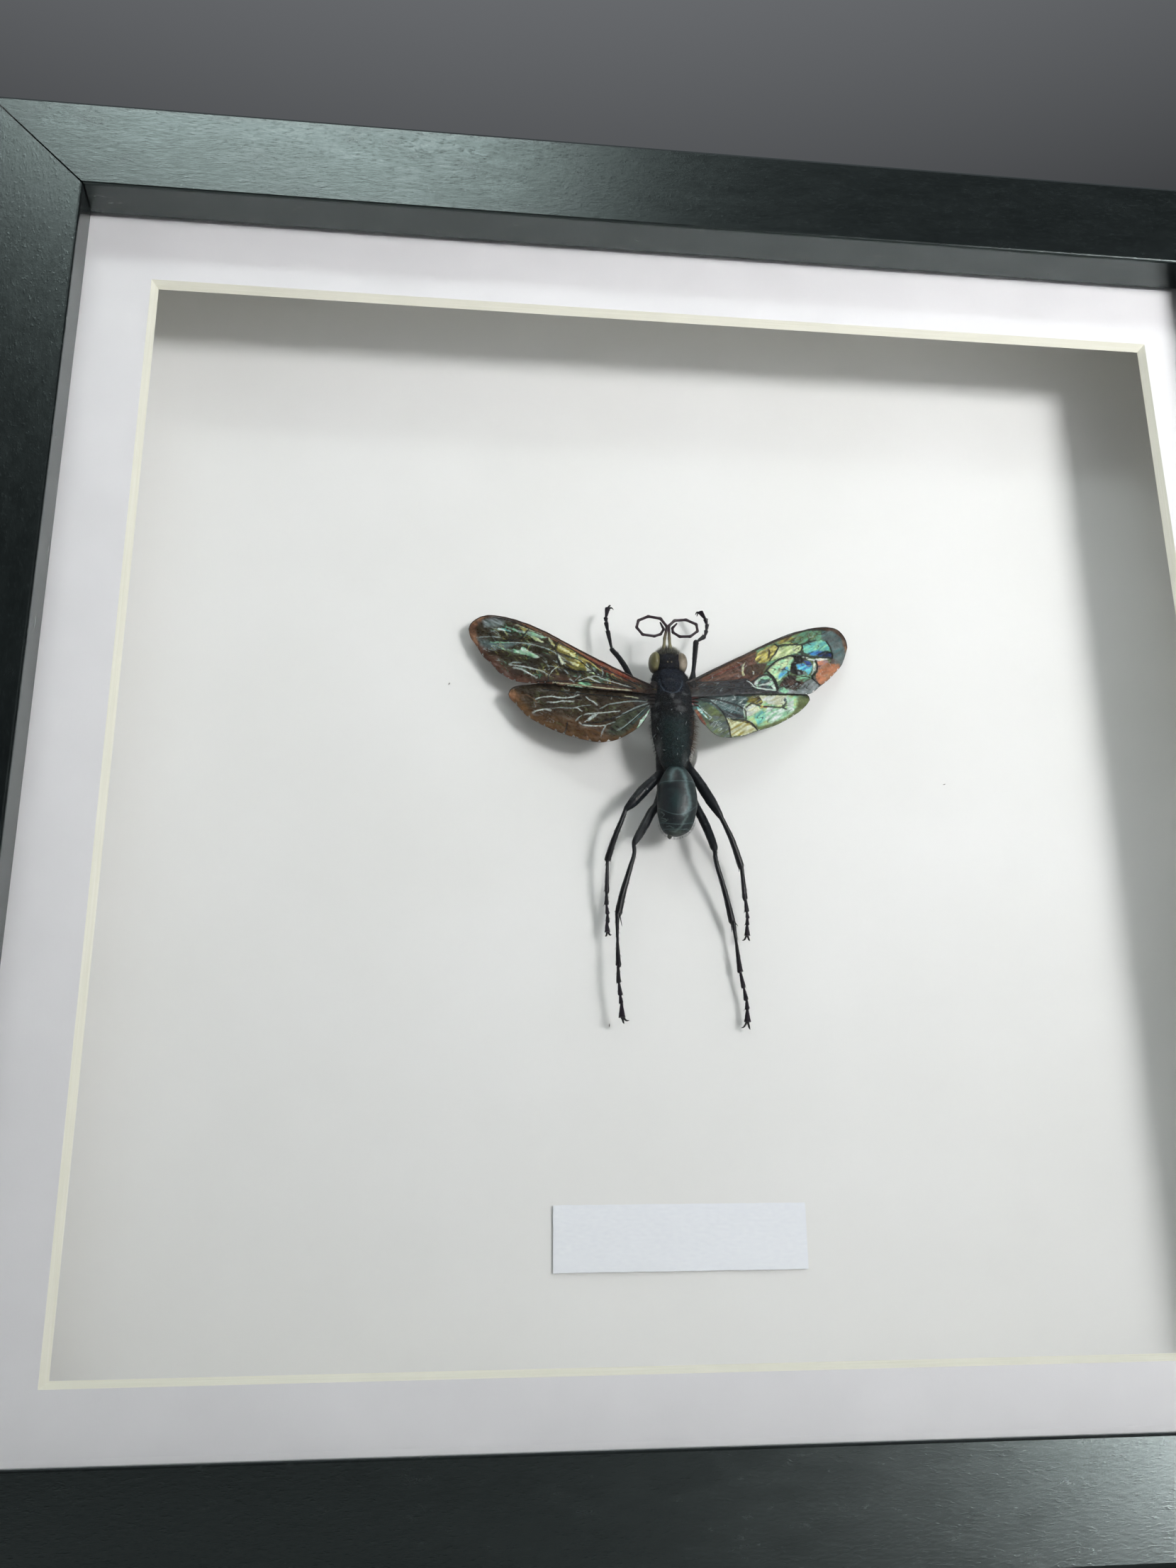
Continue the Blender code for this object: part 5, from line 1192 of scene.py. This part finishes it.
def make_head(material, eye_material):
    """A blue-black head with antenna sockets, three small eyes on top, jaws and two large eyes."""
    places, outward = body_rings(HEAD, 0.08, 90)
    x, up = places[..., 0], places[..., 1]
    relief = 0.08 * lumps(places, 1.4, 3) + 0.07 * lumps(places, 4.0, 6) - 0.05
    groove = line_near(places, [(-0.4, 29.6), (-0.4, 28.2)])
    relief -= 0.14 * np.exp(-(groove / 0.15) ** 2)
    colours = shell_colour(places, rgb(5, 6, 12), rgb(16, 20, 32), 1.1, 4)
    cheeks = smoothstep(1.6, 2.7, np.abs(x + 0.4)) * smoothstep(26.6, 25.2, up)
    colours = colours + cheeks[..., None] * np.array(rgb(34, 40, 24))
    face = smoothstep(27.5, 29.4, up + 0.7 * lumps(places, 1.3, 8))[..., None] * 0.65
    colours = blend(colours, rgb(96, 96, 84), face)
    skin = skin_of(places, outward, relief, colours)
    for x0 in (-1.3, 0.1):
        oval(skin, (x0, 28.1, 9.4), (0.5, 0.55, 0.4), rgb(60, 58, 46))
    for x0, z0 in ((-0.75, 26.3), (-0.05, 26.3), (-0.4, 26.9)):
        oval(skin, (x0, z0, 10.0), (0.16, 0.16, 0.14), rgb(120, 110, 90), steps=12)
    for sign in (-1, 1):
        jaw = [(1.7, 28.6, 6.0), (1.5, 29.5, 5.5), (0.6, 30.1, 5.3), (-0.2, 30.2, 5.2)]
        tube(skin, [(-0.4 + sign * out, up, h) for out, up, h in jaw], [0.45, 0.4, 0.28, 0.08], 0.1, 12,
             rgb(22, 18, 18))
    skin.build("head", material, "wasp_shell")
    for side, (centre, dark, light) in EYES.items():
        def shade(places):
            reach = (places - centre) / EYE_HALF
            # Painted shade: the eye darkens to brown towards its edge, where it curves away.
            rim = smoothstep(0.72, 1.02, np.hypot(reach[..., 0], reach[..., 1]))[..., None] * 0.75
            return blend(shell_colour(places, dark, light, 0.5, 2), rgb(52, 34, 24), rim)

        eye = Skin()
        oval(eye, centre, EYE_HALF, None, steps=48, shade=shade)
        eye.build("eye_" + side, eye_material, "wasp_shell")


def limb_shades(knots, tints):
    """Colour along a limb from tints at shares of its length."""
    def shade(t):
        return np.stack([np.interp(t, knots, channel) for channel in np.array(tints).T], axis=1)
    return shade


def make_legs(material):
    """Legs with a jointed foot, two claws, a pad between them, spurs at the shin's end and bristles."""
    femur, shin, foot = rgb(6, 12, 18), rgb(8, 8, 12), rgb(20, 6, 22)
    for name, (points, radii, shin_end, claw_tips, spur_tips) in LEGS.items():
        skin = Skin()
        points = np.array(points)
        share = running_length(points)
        share /= share[-1]
        knots = [0, share[shin_end // 2], share[shin_end], 1]
        thicker = 1.18 if "front" in name else 1
        radii = [r * (1.06 if number <= shin_end else 1.05 if r < 0.24 else 1.42) * thicker
                 for number, r in enumerate(radii)]
        tube(skin, points, radii, 0.1, 18, limb_shades(knots, [femur, femur, shin, foot]), rough=0.07)
        end, last = points[-1], points[-1] - points[-2]
        onward = unit(last)
        for tip in np.array(claw_tips):
            middle = end + 0.55 * (tip - end) + 0.25 * onward + (0, 0, 0.15)
            tube(skin, [end - 0.25 * onward, middle, tip], [0.22, 0.16, 0.04], 0.08, 10, shin)
        tube(skin, [end - 0.2 * last, end + 0.25 * onward], [0.26, 0.2], 0.1, 12, rgb(40, 34, 34))
        ankle = points[shin_end]
        for tip in np.array(spur_tips):
            start = ankle + 0.08 * (points[shin_end - 1] - ankle) + 0.35 * unit(tip - ankle)
            tube(skin, [start, tip], [0.15, 0.04], 0.12, 10, shin)
        bristles(skin, points, radii, share[shin_end // 2 + 2])
        skin.build("leg_" + name, material, "wasp_shell")


def bristles(skin, points, radii, start):
    """Short stiff bristles along the leg, from a share of its length on."""
    rows = spline(np.column_stack([points, radii]), 0.34)
    for number in range(int(start * len(rows)), len(rows) - 2):
        onward = unit(rows[number + 1, :3] - rows[number, :3])
        aside = unit(np.cross(onward, (0, 0, 1.0)))
        for turn in range(2):
            a = rng.uniform(0, 2 * math.pi)
            out = math.cos(a) * aside + math.sin(a) * np.cross(onward, aside)
            root = rows[number, :3] + out * rows[number, 3] * 0.8
            tip = root + (out * 0.7 + onward) * rng.uniform(0.2, 0.42)
            skin.add(tube_rings([root, (root + tip) / 2, tip], [0.05, 0.035, 0.01], 4), rgb(12, 8, 12))


def make_antennae(material):
    """Chains of straight segments, pale at the base and dark round the loop."""
    shade = limb_shades([0, 0.08, 0.16, 0.24, 1], [rgb(70, 68, 50), rgb(150, 146, 110), rgb(112, 104, 80),
                                                   rgb(48, 30, 38), rgb(38, 22, 30)])
    for side, points in ANTENNAE.items():
        corners = running_length(points)
        run = np.linspace(0, corners[-1], int(corners[-1] / 0.07))
        t = run / corners[-1]
        rows = np.stack([np.interp(run, corners, column) for column in np.array(points).T], axis=1)
        rows[1:-1] = (rows[:-2] + rows[1:-1] + rows[2:]) / 3
        radii = np.interp(t, [0, 0.06, 0.12, 0.25, 0.95, 1], [0.38, 0.36, 0.29, 0.26, 0.24, 0.14])
        from_joint = np.abs(run[:, None] - corners[None, 1:-1]).min(axis=1)
        skin = Skin()
        skin.add(tube_rings(rows, radii * (1 + 0.16 * smoothstep(0.4, 0.1, from_joint)), 12), shade(t))
        skin.build("antenna_" + side, material, "wasp_shell")


def hair_mesh(name, roots, directions, lengths, droop, width, tints, material):
    """Fine tapered hairs, each a bent three-sided spike of three rings and a tip."""
    directions = unit(directions)
    aside = unit(np.cross(directions, (0.3, 0.2, 0.9)))
    other = np.cross(directions, aside)
    points = np.empty((len(roots), 10, 3))
    for row, (share, thick) in enumerate([(-0.1, 1.0), (0.35, 0.8), (0.7, 0.5)]):
        centre = roots + (directions * share + droop * max(share, 0) ** 2) * lengths[:, None]
        for k in range(3):
            a = 2 * math.pi * k / 3
            points[:, row * 3 + k] = centre + (aside * math.cos(a) + other * math.sin(a)) * width * thick
    points[:, 9] = roots + (directions + droop) * lengths[:, None]
    one = ring_faces(3, 3) + [(6 + k, 6 + (k + 1) % 3, 9) for k in range(3)] + [(2, 1, 0)]
    faces = [tuple(i + 10 * n for i in face) for n in range(len(roots)) for face in one]
    skin = Skin()
    skin.add(world(points), tints, faces)
    skin.build(name, material, "wasp_shell")


def scatter(stations, count, keep):
    """Random roots on a lofted body with their outward directions."""
    places, outward = body_rings(stations, 0.1, 120)
    places, outward = places.reshape(-1, 3), outward.reshape(-1, 3)
    wanted = np.nonzero(keep(*places.T))[0]
    chosen = rng.choice(wanted, size=count)
    jitter = rng.normal(0, 0.04, (count, 3))
    return places[chosen] + jitter, outward[chosen]


def make_hairs(material):
    """Hairs on the thorax, head and abdomen, in groups."""
    # Name, body, count, where they root, length, droop, width, and a colour or what gives it
    groups = [
        ("thorax_sides", THORAX, 2600, lambda x, up, h: (h < 9.3) & (up < 24.5), 0.75, (0, -0.5, 0), 0.014,
         rgb(20, 17, 16)),
        ("thorax_right", THORAX, 420, lambda x, up, h: (x > 2.9) & (h > 5.5) & (up > 10) & (up < 16.5), 1.35,
         (0, -0.3, 0), 0.013, rgb(92, 66, 46)),
        ("thorax_top", THORAX, 6000, lambda x, up, h: h > 8.0, 0.36, (0, -0.9, -0.1), 0.014, thorax_colours),
        ("thorax_pale", THORAX, 800, lambda x, up, h: (h > 8.5) & (up < 21), 0.45, (0, -0.9, -0.1), 0.012,
         rgb(78, 90, 92)),
        ("head", HEAD, 1700, lambda x, up, h: up < 30.2, 0.45, (0, 0.5, 0), 0.014, rgb(26, 25, 22)),
        ("face", HEAD, 700, lambda x, up, h: (up > 28.0) & (h > 7.0), 0.6, (0, 0.5, 0.1), 0.013,
         rgb(150, 148, 136)),
        ("abdomen", ABDOMEN, 1000, lambda x, up, h: up < -3.0, 0.3, (0, -0.8, 0), 0.009, rgb(60, 70, 70)),
    ]
    for name, stations, count, keep, reach, droop, width, tint in groups:
        roots, outward = scatter(stations, count, keep)
        droop = np.array(droop)
        lean = outward + rng.normal(0, 0.35, (count, 3)) + droop * 0.5
        lengths = reach * rng.uniform(0.5, 1.15, count)
        tint = 1.6 * tint(roots) if callable(tint) else np.array(tint)
        tints = tint * rng.uniform(0.5, 1.4, (count, 1))
        hair_mesh("hairs_" + name, roots, lean, lengths, droop * 0.4, width, tints, material)


def make_wing_roots(material):
    """Tegulae and the folded plates that the wings hinge on."""
    skin = Skin()
    for side in (-1, 1):
        oval(skin, (0.2 + side * 3.5, 21.7 + (0.5 if side > 0 else 0), 9.4), (0.75, 0.95, 0.5),
             rgb(22, 18, 18), rough=0.1)
        for number in range(5):
            z = 21.0 - 0.65 * number
            tube(skin, [(0.2 + side * 2.9, z, 9.0), (0.2 + side * 3.6, z + 0.1, 9.35 - 0.08 * number),
                        (0.2 + side * 4.6, z + 0.1 * (3 - number), 9.25 - 0.1 * number)],
                 [0.34, 0.26, 0.12], 0.12, 12, rgb(64, 22, 18) if side > 0 else rgb(44, 36, 34), rough=0.15)
    skin.build("wing_roots", material, "wasp_shell")


def make_wasp():
    velvet = tinted("wasp_velvet", 0.6, 0.85, 1500, 0.0001, Specular_IOR_Level=0.25)
    shell = tinted("wasp_shell", 0.28, 0.45, 1700, 0.00005, Specular_IOR_Level=0.32)
    satin = tinted("wasp_abdomen", 0.38, 0.52, 2600, 0.00002, Specular_IOR_Level=0.4)
    eyes = tinted("wasp_eyes", 0.28, 0.4, 5200, 0.00003, Specular_IOR_Level=0.4)
    hair = tinted("wasp_hair", 0.45, 0.6, 900, 0.00001)
    make_wings()
    make_thorax(velvet, hair)
    make_abdomen(satin)
    make_head(velvet, eyes)
    make_legs(shell)
    make_antennae(shell)
    make_wing_roots(shell)
    make_hairs(hair)


# Glue, label and specks

def make_glue():
    """Clear dried glue from the board up to the waist, lumpy, with trapped dust."""
    rows = spline([(0, 0, h, x, z, w, d) for h, x, z, w, d in GLUE], 0.12)
    h, x, z, w, d = (rows[:, n, None] for n in (2, 3, 4, 5, 6))
    turn = 2 * math.pi * np.arange(48) / 48
    places = np.stack([x + w * np.cos(turn), z + d * np.sin(turn), h + 0 * turn], axis=-1)
    middle = np.stack([x, z, h], axis=-1)
    pinch = 1 - 0.16 * np.abs(lumps(places, 1.5, 4)) - 0.06 * np.abs(lumps(places, 4, 5))
    skin = Skin()
    skin.add(world(middle + (places - middle) * pinch[..., None]), (1, 1, 1))
    made = Shader("clear_glue", IOR=1.42, Transmission_Weight=1.0)
    dust = made.noise(1500, 5, 0.7)
    made.set("Base Color", made.ramp(dust, (0.35, rgb(222, 220, 214)), (0.6, rgb(250, 250, 248))))
    made.set("Roughness", made.span(dust, 0.3, 0.7, 0.25, 0.55))
    made.bump(dust, 0.0001, 0.5)
    skin.build("glue_lump", made.material, "clear_glue", ["glue"])


# Dust on the board: across, up, length, lean
SPECKS = [(-39.6, 25.0, 0.44, 0.4), (52.1, 7.8, 0.5, 1.3), (-11.1, -38.0, 0.6, 0.1)]


def make_specks():
    skin = Skin()
    for x, up, long, lean in SPECKS:
        sliver(skin, x, up, lambda a, b: 0.12, long, lean, [0.04, 0.09, 0.04], 0.06, rgb(96, 94, 90), 0.4)
    skin.build("specks", tinted("specks", 0.6, 0.8, 1500, 0.00002), "white_foam")


def make_label():
    """Bare paper, cut by hand, its edges slightly wavy and lifted."""
    low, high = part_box("label")
    across, up = 90, 26
    u, v = np.meshgrid(np.linspace(-1, 1, across), np.linspace(-1, 1, up), indexing="ij")
    x = (low.x + high.x) / 2 + (high.x - low.x) / 2 * u
    z = (low.z + high.z) / 2 + (high.z - low.z) / 2 * v
    flat = np.stack([x, 0 * x, z], axis=-1) / MM
    x -= np.sign(u) * np.abs(u) ** 30 * 0.12 * MM * np.abs(lumps(flat, 0.5, 2))
    z -= np.sign(v) * np.abs(v) ** 12 * 0.15 * MM * np.abs(lumps(flat, 0.25, 3))
    lift = 0.07 * MM * (0.5 + lumps(flat, 0.12, 6)) * v ** 2
    front = np.clip(low.y + 0.1 * MM - lift, low.y, None)
    back = np.minimum(front + 0.12 * MM, high.y)
    rim = [i * up for i in range(across)] + [(across - 1) * up + j for j in range(1, up)]
    rim += [i * up + up - 1 for i in reversed(range(across - 1))] + list(reversed(range(1, up - 1)))
    sheets = [np.stack([x, y, z], axis=-1).reshape(-1, 3) for y in (front, back)]
    skin = Skin()
    skin.add(np.vstack(sheets), (0.9, 0.9, 0.92),
             sheet_faces(ring_faces(across, up, closed=False), rim, across * up))
    skin.build("label_sheet", label_paper(), "label_paper", ["label"])


def make_floor():
    floor = bpy.data.meshes.new("floor")
    floor.from_pydata([(-2, -2, 0), (2, -2, 0), (2, 2, 0), (-2, 2, 0)], [], [(0, 1, 2, 3)])
    plane = bpy.data.objects.new("floor", floor)
    bpy.context.scene.collection.objects.link(plane)
    made = Shader("floor", Roughness=0.8)
    made.set("Base Color", made.ramp(made.noise(6, 3), (0.3, (0.62, 0.62, 0.61)), (0.7, (0.66, 0.66, 0.65))))
    floor.materials.append(made.material)


def make_sky():
    """A dim studio round the object that grows brighter straight above it."""
    studio = bpy.data.worlds.new("studio")
    studio.use_nodes = True
    bpy.context.scene.world = studio
    tree = studio.node_tree
    split = tree.nodes.new("ShaderNodeSeparateXYZ")
    rise = tree.nodes.new("ShaderNodeMapRange")
    background = tree.nodes["Background"]
    tree.links.new(tree.nodes.new("ShaderNodeTexCoord").outputs["Generated"], split.inputs[0])
    tree.links.new(split.outputs["Z"], rise.inputs[0])
    for socket, value in (("From Min", 0.6), ("From Max", 0.95), ("To Min", 0.045), ("To Max", 0.35)):
        rise.inputs[socket].default_value = value
    tree.links.new(rise.outputs[0], background.inputs["Strength"])
    background.inputs["Color"].default_value = (0.9, 0.94, 1.0, 1)


def area_light(name, at, aim, size, power, tint=(1, 1, 1), spread=180):
    """A soft lamp of a size in metres and a power in watts, aimed at a point."""
    data = bpy.data.lights.new(name, "AREA")
    data.shape = "RECTANGLE"
    data.spread = math.radians(spread)
    data.size, data.size_y = size
    data.energy = power
    data.color = tint
    lamp = bpy.data.objects.new(name, data)
    lamp.location = at
    lamp.rotation_euler = (Vector(aim) - Vector(at)).to_track_quat("-Z", "Y").to_euler()
    bpy.context.scene.collection.objects.link(lamp)


def make_lights():
    """A window at the right, a soft one above, and two lights behind for the other views."""
    middle = (0.0, 0.0, 0.125)
    area_light("key", (1.01, -1.27, 0.17), (0.26, 0, 0.24), (0.61, 0.42), 1.2, (1.0, 0.995, 0.99), 29)
    area_light("above", (-0.16, -0.62, 0.83), (0.0, 0.0, 0.24), (0.36, 0.1), 1.05, (0.92, 1.0, 0.98))
    for side in (-1, 1):
        area_light("behind", (0.6 * side, 0.7, 0.6), middle, (0.5, 0.5), 4.0)


def make_camera():
    data = bpy.data.cameras.new("camera")
    data.sensor_fit = "VERTICAL"
    data.sensor_height = SENSOR
    data.sensor_width = SENSOR * PHOTO_WIDTH / PHOTO_HEIGHT
    data.lens = FOCAL_PIXELS * SENSOR / PHOTO_HEIGHT
    data.shift_x = (PHOTO_WIDTH / 2 - CENTRE_PIXEL) / PHOTO_HEIGHT
    data.clip_start = 0.01
    camera = bpy.data.objects.new("camera", data)
    bpy.context.scene.collection.objects.link(camera)
    back = -CAMERA_VIEW.normalized()
    right = CAMERA_UP.cross(back).normalized()
    up = back.cross(right)
    turn = Matrix((right, up, back)).transposed().to_4x4()
    camera.matrix_world = Matrix.Translation(CAMERA_AT) @ turn
    bpy.context.scene.camera = camera


make_camera()
make_lights()
make_floor()
make_sky()
finish_frame()
make_wasp()
make_glue()
make_specks()
make_label()

bpy.context.scene.view_settings.view_transform = "Standard"
